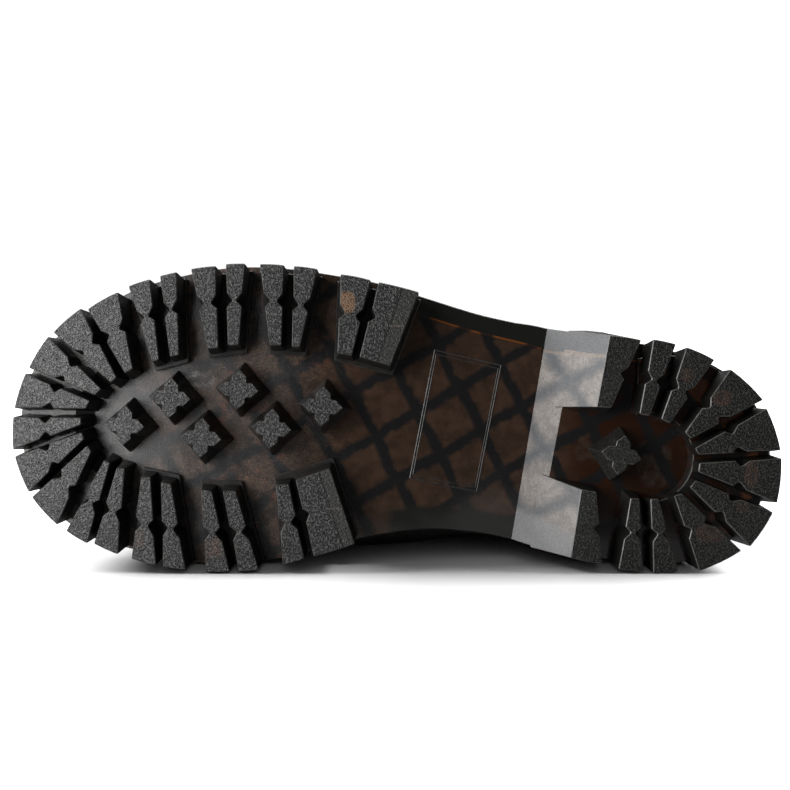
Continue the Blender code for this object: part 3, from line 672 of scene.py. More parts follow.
class Weave:
    """A small builder of node trees."""

    def __init__(self, name: str) -> None:
        """Start a material with its Principled shader.

        Args:
            name: The material's name.
        """
        made = bpy.data.materials.new(name)
        made.use_nodes = True
        self.tree = made.node_tree
        self.shader = self.tree.nodes["Principled BSDF"]
        place = {"Vector": self.node("ShaderNodeTexCoord").outputs["Object"],
                 "Location": LYING.matrix.translation, "Rotation": LYING.matrix.to_euler()}
        upright = self.node("ShaderNodeMapping", vector_type="TEXTURE")
        self.coords = self.fed(upright, place).outputs["Vector"]

    def node(self, kind: str, **settings: object) -> bpy.types.Node:
        """Add a node.

        Args:
            kind: The node's type.
            settings: Properties to set on it.

        Returns:
            The node.
        """
        made = self.tree.nodes.new(kind)
        for key, value in settings.items():
            setattr(made, key, value)
        return made

    def plug(self, value: object, socket: Socket) -> None:
        """Link a socket, or set a plain value, on another socket.

        Args:
            value: A socket, a number, a vector or a colour.
            socket: The socket that takes it.
        """
        if isinstance(value, Socket):
            self.tree.links.new(value, socket)
        elif isinstance(value, tuple) and socket.type == "RGBA":
            socket.default_value = (*value, 1.0)
        else:
            socket.default_value = value

    def fed(self, made: bpy.types.Node, values: dict[int | str, object]) -> bpy.types.Node:
        """Feed a node's sockets.

        Args:
            made: The node.
            values: A value for each socket, by its number or name; None for no value.

        Returns:
            The node.
        """
        for key, value in values.items():
            if value is not None:
                self.plug(value, made.inputs[key])
        return made

    def math(self, operation: str, *values: object) -> Socket:
        """Do arithmetic on sockets or numbers."""
        made = self.node("ShaderNodeMath", operation=operation)
        return self.fed(made, dict(enumerate(values))).outputs[0]

    def times(self, *values: object) -> Socket:
        """Multiply two values."""
        return self.math("MULTIPLY", *values)

    def inverse(self, value: object) -> Socket:
        """Take a value from 1."""
        return self.math("SUBTRACT", 1.0, value)

    def apart(self, value: object, place: float) -> Socket:
        """How far a value is from a place."""
        return self.math("ABSOLUTE", self.math("SUBTRACT", value, place))

    def vector(self, operation: str, *values: object) -> bpy.types.Node:
        """Do vector arithmetic and return the node."""
        made = self.node("ShaderNodeVectorMath", operation=operation)
        return self.fed(made, dict(enumerate(values)))

    def shaded(self, colour: object, shade: object) -> Socket:
        """Multiply a colour by a number."""
        return self.vector("MULTIPLY", colour, shade).outputs["Vector"]

    def mark(self, name: str) -> Socket:
        """Read a mark of the mesh."""
        return self.node("ShaderNodeAttribute", attribute_name=name).outputs["Fac"]

    def along(self, way: Sequence[float]) -> Socket:
        """Length in millimetres along a direction of the shoe."""
        scaled = tuple(PER_METRE * v for v in way)
        return self.vector("DOT_PRODUCT", self.coords, scaled).outputs["Value"]

    def noise(self, period: float, detail: float = 2.0, rough: float = 0.5,
              distortion: float = 0.0) -> Socket:
        """Smooth noise whose features are about a period, in millimetres, across."""
        values = {"Vector": self.coords, "Scale": PER_METRE / period, "Detail": detail,
                  "Roughness": rough, "Distortion": distortion}
        return self.fed(self.node("ShaderNodeTexNoise"), values).outputs["Fac"]

    def cells(self, period: float, feature: str = "F1") -> Socket:
        """Distance in a pattern of cells, a period across in millimetres."""
        made = self.node("ShaderNodeTexVoronoi", feature=feature)
        return self.fed(made, {"Vector": self.coords, "Scale": PER_METRE / period}).outputs[0]

    def ramp(self, value: object, low: float, high: float, start: float = 0.0,
             end: float = 1.0) -> Socket:
        """Carry a value smoothly from the range low to high into the range start to end."""
        made = self.node("ShaderNodeMapRange", interpolation_type="SMOOTHSTEP")
        return self.fed(made, dict(enumerate((value, low, high, start, end)))).outputs["Result"]

    def spread(self, value: object, start: float, end: float) -> Socket:
        """Carry the whole range of a value from 0 to 1 into another."""
        return self.ramp(value, 0.0, 1.0, start, end)

    def gloss(self, value: object, limits: Pair) -> Socket:
        """Roughness between two limits, from a noise."""
        return self.ramp(value, 0.3, 0.7, *limits)

    def mix(self, share: object, first: object, second: object) -> Socket:
        """Mix two colours, by the share of the second."""
        made = self.node("ShaderNodeMix", data_type="RGBA")
        return self.fed(made, {0: share, 6: first, 7: second}).outputs[2]

    def tint(self, share: object, colour: Colour, low: float, high: float) -> Socket:
        """Vary a colour between two strengths of it."""
        first, second = (tuple(factor * c for c in colour) for factor in (low, high))
        return self.mix(share, first, second)

    def bump(self, height: object, strength: float, depth: float, normal: object = None) -> Socket:
        """Turn a height into a normal, its depth in millimetres, over another normal."""
        values = {"Strength": strength, "Distance": depth * MM, "Height": height, "Normal": normal}
        return self.fed(self.node("ShaderNodeBump"), values).outputs["Normal"]

    def finish(self, **sockets: object) -> None:
        """Set the shader's sockets by name, with underscores for spaces."""
        self.fed(self.shader, {name.replace("_", " "): value for name, value in sockets.items()})


@dataclass(frozen=True)
class Finish:
    """A finish that the pieces of its kind share."""

    name: str = "finish"

    def material(self) -> bpy.types.Material:
        """Find the finish's material.

        Returns:
            The material, made once.
        """
        if self.name not in bpy.data.materials:
            self.dress(Weave(self.name))
        return bpy.data.materials[self.name]

    def dress(self, weave: Weave) -> None:
        """Build the material's nodes."""
        raise NotImplementedError


# --- rubber finishes


@dataclass(frozen=True)
class Webs:
    """The lattice of upright webs inside the clear rubber: two crossing rows of lines."""

    node: Pair = (-8.1, 7.0)
    pitch: float = 18.5
    half_width: float = 2.0
    first: Pair = (0.5, 0.866)
    second: Pair = (0.891, -0.454)
    wander: Pair = (12.0, 4.0)
    fray: Pair = (3.0, 1.6)
    crossing: float = 0.08

    def shade(self, weave: Weave, soft: float = 0.5) -> Socket:
        """Find the webs.

        Args:
            weave: The material.
            soft: Blur of their edges.

        Returns:
            1 on a web and 0 between them.
        """
        size, reach = self.wander
        wander = weave.math("MULTIPLY_ADD", weave.noise(size, 3.0), reach, -reach / 2)
        gaps = []
        for normal in (self.first, self.second):
            start = normal[0] * self.node[0] + normal[1] * self.node[1]
            way = weave.math("ADD", weave.along((*normal, 0.0)), wander)
            turns = weave.math("DIVIDE", weave.math("SUBTRACT", way, start), self.pitch)
            gaps.append(weave.math("PINGPONG", turns, 0.5))
        near = weave.times(weave.math("SMOOTH_MIN", *gaps, self.crossing), self.pitch)
        size, reach = self.fray
        fray = weave.math("MULTIPLY_ADD", weave.noise(size, 2.0), reach, -reach / 2)
        near = weave.math("ADD", near, fray)
        return weave.ramp(near, self.half_width - soft, self.half_width + soft, 1.0, 0.0)


WEBS = Webs()


@dataclass(frozen=True)
class Glow:
    """A round patch where light comes up through the rubber; it also shapes dust, wear and a
    painted highlight.
    """

    x: float
    y: float
    long: float
    wide: float
    strength: float = 1.0
    power: float = 3.0
    edge: Pair = (0.55, 1.4)

    def shade(self, weave: Weave) -> Socket:
        """Find the patch.

        Args:
            weave: The material.

        Returns:
            0 outside the patch and its strength inside.
        """
        powers = []
        for way, place, size in (((1, 0, 0), self.x, self.long), ((0, 1, 0), self.y, self.wide)):
            off = weave.math("DIVIDE", weave.math("SUBTRACT", weave.along(way), place), size)
            powers.append(weave.math("POWER", weave.math("ABSOLUTE", off), self.power))
        return weave.ramp(weave.math("ADD", *powers), *self.edge, self.strength, 0.0)


def strongest(weave: Weave, glows: Sequence["Glow | Strip"]) -> Socket:
    """The largest value of several glows."""
    return reduce(partial(weave.math, "MAXIMUM"), [glow.shade(weave) for glow in glows])


@dataclass(frozen=True)
class Strip:
    """A straight strip of the sole, by its direction across, where it starts and its width."""

    normal: Pair
    start: float
    width: float
    side: Side
    soft: float = 0.4
    middle: float = 10.0

    def shade(self, weave: Weave) -> Socket:
        """Find the strip.

        Args:
            weave: The material.

        Returns:
            1 on the strip and 0 outside it.
        """
        reach = weave.along((*self.normal, 0.0))
        end = self.start + self.width
        inside = weave.times(weave.ramp(reach, self.start - self.soft, self.start + self.soft),
                             weave.ramp(reach, end, end + 1, 1.0, 0.0))
        across = weave.along((0, self.side.value, 0))
        return weave.times(inside, weave.ramp(across, self.middle, self.middle + 2.0))


@dataclass(frozen=True)
class Grained(Finish):
    """A plain finish: a cloud varies its colour and gloss, and a fine grain covers it.

    The cloud is a noise and the share its range that tints the colour. The grain is a pattern of
    cells, or a noise where there are none. Worn patches are darker.
    """

    colour: Colour = (0.0, 0.0, 0.0)
    cloud: Row = (3.5, 4.0, 0.6)
    share: Row = ()
    tints: Pair = (0.7, 1.7)
    rough: Pair = (0.4, 0.6)
    cell: float = 0.0
    grain: Row = (0.5, 3.0, 0.6)
    bump: Pair = (0.35, 0.06)
    worn: tuple[Glow, ...] = ()
    worn_strength: float = 0.6

    def dress(self, weave: Weave) -> None:
        """Build the material's nodes.

        Args:
            weave: The material.
        """
        cloud = weave.noise(*self.cloud)
        share = weave.ramp(cloud, *self.share) if self.share else cloud
        colour = weave.tint(share, self.colour, *self.tints)
        if self.worn:
            dark = tuple(self.worn_strength * c for c in self.colour)
            colour = weave.mix(strongest(weave, self.worn), colour, dark)
        grain = weave.cells(self.cell) if self.cell else weave.noise(*self.grain)
        weave.finish(Base_Color=colour, Roughness=weave.gloss(cloud, self.rough),
                     Normal=weave.bump(grain, *self.bump))


@dataclass(frozen=True)
class SmokedRubber(Finish):
    """The sole's bottom between the lugs: clear smoked rubber over dark webs.

    A span along the shoe gives the two places between which one look passes into the next.
    """

    name: str = "smoked rubber"
    toe_cell: Colour = (0.040, 0.037, 0.034)
    fore_cell: Colour = (0.044, 0.029, 0.021)
    fore_web: Colour = (0.0060, 0.0078, 0.0105)
    rust: Colour = (0.085, 0.030, 0.014)
    cell: Colour = (0.047, 0.027, 0.018)
    heel_cell: Colour = (0.024, 0.0085, 0.0035)
    web: Colour = (0.009, 0.010, 0.011)
    rim: Colour = (0.013, 0.013, 0.011)
    line: Colour = (0.18, 0.055, 0.012)
    # pale: the colour of a painted highlight, a lighter patch on the forepart's floor
    pale: Colour = (0.105, 0.105, 0.105)
    # painted glow: paler brown spots in the heel's channels, painted in for light coming up through
    # the rubber
    painted_glow: Colour = (0.13, 0.052, 0.026)
    dusty_cell: Colour = (0.055, 0.043, 0.034)
    toe_span: Pair = (-112, -84)
    rust_span: Pair = (-92, -66)
    waist_span: Pair = (-44.0, 0.0)
    heel_span: Pair = (56, 74)
    arch_from: Pair = (-6, 0)
    arch_to: Pair = (58, 64)
    line_from: Pair = (3, 6)
    rim_width: float = 7.3
    medial_rim: float = 9.5
    medial_blur: float = 1.2
    grain: float = 0.8
    rough: Pair = (0.31, 0.10)
    painted_sheen: Glow = Glow(-74.5, -14.5, 5.5, 3.2, 0.7)
    painted_glow_spots: tuple[Glow, ...] = (
        Glow(104.5, -15.0, 3.4, 4.0, 0.8), Glow(113.5, -10.5, 4.2, 4.2, 0.9),
        Glow(126.6, 1.4, 4.6, 4.2), Glow(131.0, 14.4, 4.8, 4.0), Glow(129.2, 27.8, 4.8, 4.4),
        Glow(121.5, 39.4, 4.4, 4.4, 0.9),
    )
    dusty: tuple[Glow, ...] = (Glow(97.5, 17.0, 6.5, 9.0), Glow(72.0, 10.0, 5.0, 7.0, 0.6))

    def fore(self, weave: Weave, x: object, blotch: object, grains: object) -> Socket:
        """Colour the forepart's floor: dusty, with faint webs, rust and a painted highlight.

        Args:
            weave: The material.
            x: Place along the shoe.
            blotch: Soft patches, from 0 to 1.
            grains: Fine specks, from 0 to 1.

        Returns:
            The colour.
        """
        colour = weave.mix(weave.ramp(x, *self.toe_span), self.toe_cell, self.fore_cell)
        webs = weave.times(WEBS.shade(weave, 1.2), weave.spread(blotch, 1.0, 0.8))
        colour = weave.mix(webs, colour, self.fore_web)
        rusty = weave.times(weave.ramp(weave.noise(9.0, 5.0, 0.7), 0.56, 0.68),
                            weave.ramp(x, *self.rust_span))
        colour = weave.mix(weave.times(rusty, 0.7), colour, self.rust)
        # painted highlight: this patch lightens the floor towards the pale colour
        lit = weave.times(self.painted_sheen.shade(weave), weave.spread(blotch, 0.3, 1.0))
        colour = weave.mix(lit, colour, self.pale)
        grain = weave.ramp(grains, 0.34, 0.66, 0.35, 1.75)
        return weave.shaded(colour, weave.times(grain, weave.spread(blotch, 0.5, 1.55)))

    def rear(self, weave: Weave, x: object) -> Socket:
        """Colour waist and heel: brown cells, webs, dark rims, the amber line and a painted glow.

        Args:
            weave: The material.
            x: Place along the shoe.

        Returns:
            The colour.
        """
        webs = weave.times(WEBS.shade(weave, 0.9), 0.92)
        mottle = weave.noise(6.0, 4.0, 0.6)
        brown = weave.tint(weave.ramp(mottle, 0.35, 0.7), self.cell, 0.75, 1.25)
        brown = weave.mix(weave.ramp(x, *self.heel_span), brown, self.heel_cell)
        clouds = weave.ramp(weave.noise(6.0, 4.0, 0.65), 0.35, 0.65)
        dust = weave.times(strongest(weave, self.dusty), clouds)
        brown = weave.mix(weave.times(dust, 0.8), brown, self.dusty_cell)
        # painted glow: the floors of the heel's channels are lightened where light would come up
        # through the rubber
        brown = weave.mix(strongest(weave, self.painted_glow_spots), brown, self.painted_glow)
        colour = weave.mix(webs, brown, self.web)
        lateral, medial = weave.mark("from_lateral"), weave.mark("from_medial")
        arch = weave.times(weave.ramp(x, *self.arch_from), weave.ramp(x, *self.arch_to, 1.0, 0.0))
        outer = weave.ramp(lateral, self.rim_width - 0.4, self.rim_width + 0.1, 1.0, 0.0)
        inner = weave.ramp(medial, self.medial_rim - self.medial_blur,
                           self.medial_rim + self.medial_blur, 1.0, 0.0)
        solid = weave.times(weave.math("MAXIMUM", outer, inner), arch)
        colour = weave.mix(solid, colour, self.rim)
        near = weave.ramp(weave.apart(lateral, self.rim_width), 0.15, 0.5, 1.0, 0.0)
        dash = weave.times(near, weave.inverse(webs))
        return weave.mix(weave.times(dash, weave.ramp(x, *self.line_from)), colour, self.line)

    def dress(self, weave: Weave) -> None:
        """Build the material's nodes.

        Args:
            weave: The material.
        """
        x = weave.along((1, 0, 0))
        wander = weave.times(weave.noise(22.0), 16.0)
        waist = weave.ramp(weave.math("ADD", x, wander), *self.waist_span)
        blotch = weave.ramp(weave.noise(4.5, 5.0, 0.7, 0.4), 0.34, 0.66)
        grains = weave.noise(0.55, 2.0, 0.7)
        colour = weave.mix(waist, self.fore(weave, x, blotch, grains), self.rear(weave, x))
        speck = weave.math("ADD", grains, weave.times(blotch, 0.1))
        fine = weave.inverse(weave.times(waist, 0.9))
        wave = weave.bump(weave.noise(14.0, 1.0), 0.25, 0.4)
        normal = weave.bump(weave.times(speck, fine), self.grain, 0.11, wave)
        rough = weave.spread(waist, *self.rough)
        weave.finish(Base_Color=colour, Roughness=rough, Normal=normal, IOR=1.5)


@dataclass(frozen=True)
class StippledTread(Finish):
    """The lugs' treads: a wrinkled stipple, clear enough to glow amber in places."""

    name: str = "stippled tread"
    # dark and light colour the stipple by its height: painted shade in its hollows and a painted
    # highlight on its ridges
    dark: Colour = (0.0020, 0.0020, 0.0019)
    light: Colour = (0.052, 0.052, 0.0505)
    heel_shaded_hollows: Colour = (0.0012, 0.0011, 0.0010)
    heel_lit_ridges: Colour = (0.034, 0.0330, 0.0285)
    amber: Colour = (0.16, 0.088, 0.045)
    brown: Colour = (0.075, 0.040, 0.026)
    slope: Colour = (0.034, 0.034, 0.031)
    seam: Colour = (0.10, 0.085, 0.07)
    slopes: tuple[Strip, ...] = (
        Strip((0.945, 0.326), -13.5, 8.5, Side.LATERAL),
        Strip((0.952, -0.306), -33.2, 7.0, Side.MEDIAL),
    )
    seams: tuple[Glow, ...] = (Glow(-0.5, -33.9, 3.8, 0.32, 0.6), Glow(-22.6, 33.1, 3.8, 0.32, 0.6))
    wrinkle: float = 0.9
    depth: float = 0.8
    glows: tuple[Glow, ...] = (Glow(-18.6, -42.6, 3.3, 3.9),)
    faint: tuple[Glow, ...] = (
        Glow(-95.8, 43.5, 3.2, 3.4, 0.7), Glow(-67.2, 47.2, 3.2, 4.0, 0.8),
        Glow(106.8, -16.0, 2.3, 2.6, 0.8), Glow(119.6, -7.5, 3.4, 3.0, 0.8),
        Glow(130.3, 20.4, 2.6, 5.0, 0.8), Glow(127.0, 32.8, 2.2, 2.0, 0.5),
        Glow(114.9, 42.4, 5.0, 3.4, 0.6),
    )
    rough: Pair = (0.30, 0.46)
    heel_span: Pair = (40.0, 75.0)

    def dress(self, weave: Weave) -> None:
        """Build the material's nodes.

        Args:
            weave: The material.
        """
        heel = weave.ramp(weave.along((1, 0, 0)), *self.heel_span)
        coarse = weave.ramp(weave.noise(self.wrinkle, 1.0, 0.5, 0.5), 0.47, 0.55)
        fine = weave.ramp(weave.noise(0.75 * self.wrinkle, 1.0, 0.5, 0.5), 0.46, 0.57)
        worm = weave.math("ADD", weave.times(heel, fine), weave.times(weave.inverse(heel), coarse))
        grit = weave.noise(0.5, 2.0, 0.6)
        height = weave.math("ADD", weave.times(worm, 0.85), weave.times(grit, 0.3))
        # painted shade and highlight: the colour follows the stipple's height, darker in the
        # hollows and lighter on the ridges
        dark = weave.mix(heel, self.dark, self.heel_shaded_hollows)
        light = weave.mix(heel, self.light, self.heel_lit_ridges)
        colour = weave.mix(weave.ramp(height, 0.15, 1.0), dark, light)
        sloped = strongest(weave, self.slopes)
        colour = weave.mix(weave.times(sloped, 0.75), colour, self.slope)
        colour = weave.mix(strongest(weave, self.seams), colour, self.seam)
        clouds = weave.ramp(weave.noise(2.5, 3.0), 0.3, 0.6)
        seen = weave.times(strongest(weave, self.faint), clouds)
        colour = weave.mix(weave.times(seen, 0.75), colour, self.brown)
        colour = weave.mix(strongest(weave, self.glows), colour, self.amber)
        fading = weave.times(weave.inverse(weave.times(sloped, 0.6)),
                             weave.math("MULTIPLY_ADD", heel, 0.25, 1.0))
        normal = weave.bump(weave.times(height, fading), 1.0, self.depth)
        rough = weave.ramp(grit, 0.2, 0.8, *self.rough)
        weave.finish(Base_Color=colour, Roughness=rough, Normal=normal)


@dataclass(frozen=True)
class LugWall(Finish):
    """The sides of lugs and studs: black, browner towards the root."""

    name: str = "lug wall"
    black: Colour = (0.0105, 0.0100, 0.0095)
    brown: Colour = (0.050, 0.018, 0.008)
    root_span: Pair = (8.0, 12.5)
    rear_span: Pair = (-95.0, -70.0)
    rough: Pair = (0.32, 0.45)

    def dress(self, weave: Weave) -> None:
        """Build the material's nodes.

        Args:
            weave: The material.
        """
        low = weave.ramp(weave.along((0, 0, 1)), *self.root_span)
        patch = weave.times(low, weave.ramp(weave.noise(11.0, 3.0), 0.42, 0.68))
        rear = weave.ramp(weave.along((1, 0, 0)), *self.rear_span)
        colour = weave.mix(weave.times(patch, rear), self.black, self.brown)
        normal = weave.bump(weave.noise(0.6, 3.0, 0.6), 0.35, 0.06)
        weave.finish(Base_Color=colour, Roughness=weave.gloss(weave.noise(3.0), self.rough),
                     Specular_IOR_Level=0.3, Normal=normal)


@dataclass(frozen=True)
class EasedEdge(Finish):
    """The narrow worn edges of lugs and sole, smoother than the faces beside them."""

    name: str = "eased edge"
    colour: Colour = (0.035, 0.034, 0.032)
    # towards the heel the edges are paler: wear, with a painted highlight along the edges
    heel_wear_and_highlight: Colour = (0.085, 0.084, 0.078)
    heel_span: Pair = (50.0, 75.0)
    rough: Pair = (0.25, 0.42)

    def dress(self, weave: Weave) -> None:
        """Build the material's nodes.

        Args:
            weave: The material.
        """
        wear = weave.noise(2.0, 3.0)
        # painted highlight: the edge colour grows paler towards the heel, over the wear noise
        heel = weave.ramp(weave.along((1, 0, 0)), *self.heel_span)
        colour = weave.shaded(weave.mix(heel, self.colour, self.heel_wear_and_highlight),
                              weave.spread(wear, 0.5, 1.6))
        weave.finish(Base_Color=colour, Roughness=weave.gloss(wear, self.rough),
                     Normal=weave.bump(weave.noise(0.7), 0.3, 0.03))


@dataclass(frozen=True)
class RampFilm(Finish):
    """The sloped heel breast: polished rubber with a pale film over webs and cells."""

    name: str = "polished breast"
    cell: Colour = (0.175, 0.160, 0.150)
    web: Colour = (0.068, 0.073, 0.079)
    plain: Colour = (0.138, 0.140, 0.143)
    medial_plain: Colour = (0.185, 0.186, 0.188)
    vein: Colour = (0.042, 0.047, 0.054)
    amber: Colour = (0.26, 0.21, 0.17)
    rim_width: float = 7.3
    medial_way: Triple = (-0.359, 0.933, 0.0)
    medial_from: float = 16.4
    lit_span: Pair = (-10.0, 12.0)
    lit: Pair = (1.40, 1.14)
    rough: Pair = (0.34, 0.46)

    def dress(self, weave: Weave) -> None:
        """Build the material's nodes.

        Args:
            weave: The material.
        """
        cloud = weave.ramp(weave.noise(7.0, 6.0, 0.68, 0.8), 0.34, 0.66)
        cell = weave.shaded(self.cell, weave.spread(cloud, 0.82, 1.16))
        webs = weave.times(WEBS.shade(weave, 2.0), weave.spread(cloud, 0.95, 0.75))
        vein = weave.apart(weave.noise(5.5, 4.0, 0.6, 1.2), 0.5)
        thin = weave.times(weave.ramp(vein, 0.0, 0.02, 0.75, 0.0), cloud)
        film = weave.mix(thin, weave.mix(webs, cell, self.web), self.vein)
        lit = weave.ramp(weave.along((0, 1, 0)), *self.lit_span, *self.lit)
        lateral = weave.mark("from_lateral")
        rim = weave.ramp(lateral, self.rim_width - 0.6, self.rim_width + 0.2, 1.0, 0.0)
        colour = weave.mix(rim, weave.shaded(film, lit), self.plain)
        reach = weave.math("MULTIPLY_ADD", weave.noise(8.0), 4.0, weave.along(self.medial_way))
        band = weave.ramp(reach, self.medial_from, self.medial_from + 4.0, 0.0, 0.8)
        colour = weave.mix(band, colour, self.medial_plain)
        near = weave.ramp(weave.apart(lateral, self.rim_width + 0.5), 0.2, 0.8, 0.6, 0.0)
        colour = weave.mix(near, colour, self.amber)
        colour = weave.shaded(colour, weave.ramp(weave.noise(0.6, 2.0, 0.7), 0.3, 0.7, 0.84, 1.16))
        normal = weave.bump(weave.noise(1.0, 3.0), 0.12, 0.03)
        weave.finish(Base_Color=colour, Roughness=weave.spread(cloud, *self.rough),
                     Specular_IOR_Level=0.2, Normal=normal)


RIBBED_WALL = Grained("ribbed sole wall", (0.016, 0.0155, 0.015), (3.5, 4.0, 0.6), (0.35, 0.75),
                      (0.7, 1.7), (0.38, 0.55))


# --- outsole


@dataclass(frozen=True)
class Lug:
    """One lug, by the corners of its tread.

    The pinch is the place of the waisted notch, as a share of the length from the outer end, and
    the notch gives its points as steps from there and shares of its depth. The run is how far the
    toe wall slopes out to its root.
    """

    toe_outer: Pair
    heel_outer: Pair
    heel_inner: Pair
    toe_inner: Pair
    pinch: float
    notched: Notched = Notched.BOTH
    toe_run: float = 0.0
    notch_depth: float = 2.0
    outer_tuck: float = 2.2
    inner_slope: float = 2.2
    draft: float = 1.1
    fan_draft: float = -0.15
    fan_from: float = -98.0
    rear_slope: float = -0.4
    rear_from: float = 92.0
    notch: tuple[Pair, ...] = ((-0.095, 0.12), (-0.012, 1.0), (0.012, 1.0), (0.078, 0.0))
    end_radius: float = 60.0
    end_steps: int = 3
    corner_radius: float = 0.55

    def corners(self) -> list[Vector]:
        """Corners of the tread: toe outer, heel outer, heel inner, toe inner."""
        named = (self.toe_outer, self.heel_outer, self.heel_inner, self.toe_inner)
        return [Vector(corner) for corner in named]

    def across(self) -> Vector:
        """Direction from the lug's toe wall to its heel wall."""
        toe_outer, heel_outer, _, _ = self.corners()
        return (heel_outer - toe_outer).normalized()

    def root_corners(self) -> list[Vector]:
        """Find the corners at the root.

        Returns:
            The corners, tucked in at the outer end and sloped out on the other sides.
        """
        toe_outer, heel_outer, heel_inner, toe_inner = self.corners()
        inward = ((heel_inner + toe_inner) - (heel_outer + toe_outer)).normalized()
        draft = self.draft + (self.fan_draft if toe_outer.x < self.fan_from else 0.0)
        toe_way = self.across() * -(draft + self.toe_run)
        heel_way = self.across() * draft
        tuck = inward * self.outer_tuck
        slope = inward * (self.rear_slope if toe_outer.x > self.rear_from else self.inner_slope)
        return [toe_outer + tuck + toe_way, heel_outer + tuck + heel_way,
                heel_inner + slope + heel_way, toe_inner + slope + toe_way]

    def outline(self, corners: Sequence[Vector]) -> tuple[list[Vector], int]:
        """Outline through corners, with the notches.

        Args:
            corners: The four corners.

        Returns:
            The points, from the inner toe corner round by the outer end, and how many segments
            lie on the toe side.
        """
        toe_outer, heel_outer, heel_inner, toe_inner = corners
        across = self.across()
        sides = []
        for outer, inner, way, kinds in (
            (toe_outer, toe_inner, across, (Notched.BOTH, Notched.TOE)),
            (heel_outer, heel_inner, -across, (Notched.BOTH, Notched.HEEL)),
        ):
            marks = self.notch if self.notched in kinds else ()
            deepest = way * self.notch_depth
            cut = [outer.lerp(inner, self.pinch + step) + deepest * deep for step, deep in marks]
            sides.append([outer] + cut + [inner])
        toe_side, heel_side = sides
        end = heel_outer - toe_outer
        out = ((heel_outer + toe_outer) - (heel_inner + toe_inner)).normalized()
        swell = out * end.length_squared / (8 * self.end_radius)
        rounded = []
        for k in range(1, self.end_steps + 1):
            t = k / (self.end_steps + 1)
            rounded.append(toe_outer + end * t + swell * 4 * t * (1 - t))
        points = toe_side[::-1] + rounded + heel_side
        ends = (0, len(toe_side) - 1, len(toe_side) + self.end_steps, len(points) - 1)
        return eased(points, ends, self.corner_radius), len(toe_side) + 2

    def form(self, root: Callable[[float], float]) -> Form:
        """Build the lug down to its root.

        Args:
            root: Height of its root at a place along the shoe.

        Returns:
            A closed form.
        """
        low, toe_count = self.outline(self.corners())
        high, _ = self.outline(self.root_corners())

        def wall(j: int) -> Skin:
            """A sloped toe side takes the finish that runs over it."""
            return Skin.RAMP if self.toe_run and j < toe_count else Skin.WALL

        return Block(low, high, HEIGHTS.tread, root).form(Skin.TREAD, wall)


@dataclass(frozen=True)
class Stud:
    """A clover stud: a diamond block with a notch run out in the middle of each side."""

    x: float
    y: float
    turn: float = 4.5
    tip: float = 7.45
    shoulder_deg: float = 28.0
    notch_deg: float = 41.0
    notch_radius: float = 4.05
    root_radius: float = 11.0
    wall: Skin = Skin.WALL
    tip_deg: float = 1.5
    chamfer: float = 0.2

    def outline(self, radius: float, notch: float) -> list[Vector]:
        """Find the stud's outline at one height.

        Args:
            radius: From the middle to a corner.
            notch: From the middle to the bottom of a notch; 0 for none.

        Returns:
            Its points, as many at every height.
        """
        half = (self.tip_deg, self.shoulder_deg, self.notch_deg)
        found = []
        for corner in range(4):
            for degrees in (*(-d for d in half[::-1]), *half):
                turn = math.radians(degrees)
                edge = radius / (math.cos(turn) + abs(math.sin(turn)))
                reach = notch if notch and abs(degrees) == self.notch_deg else edge
                turn += math.radians(90 * corner + self.turn)
                x, y = self.x + reach * math.cos(turn), self.y + reach * math.sin(turn)
                found.append(Vector((x, y)))
        return found

    def form(self, root: Callable[[float], float]) -> Form:
        """Build the stud down to its root."""
        low, high = self.outline(self.tip, self.notch_radius), self.outline(self.root_radius, 0.0)
        return Block(low, high, HEIGHTS.tread, root, self.chamfer).form(Skin.TREAD, self.wall)


@dataclass(frozen=True)
class Ring:
    """The low step under a fan of lugs, sloped on its inner side."""

    pole: Pair
    outer: float
    ledge_pole: Pair
    ledge: float
    foot: float
    span: Pair
    way: int
    rise: float = 2.5
    count: int = 40
    embed: float = 0.2
    chamfer: float = 0.3

    def arc(self, pole: Pair, radius: float) -> list[Vector]:
        """Points of an arc, its angle counted towards +Y."""
        turns = [self.turn(i / (self.count - 1)) for i in range(self.count)]
        return [Vector((pole[0] + self.way * radius * math.cos(turn),
                        pole[1] + radius * math.sin(turn))) for turn in turns]

    def turn(self, share: float) -> float:
        """Angle at a share of the span."""
        return math.radians(self.span[0] + (self.span[1] - self.span[0]) * share)

    def form(self) -> Form:
        """Build the step.

        Returns:
            A closed form.
        """
        outer = self.arc(self.pole, self.outer)
        low, high = (outer + self.arc(self.ledge_pole, r)[::-1] for r in (self.ledge, self.foot))
        made = Block(low, high, lambda x: HEIGHTS.tread(x) + TREAD_DEPTH - self.rise,
                     lambda x: HEIGHTS.tread(x) + TREAD_DEPTH + self.embed, self.chamfer)
        return made.form(Skin.FLOOR, Skin.WALL)


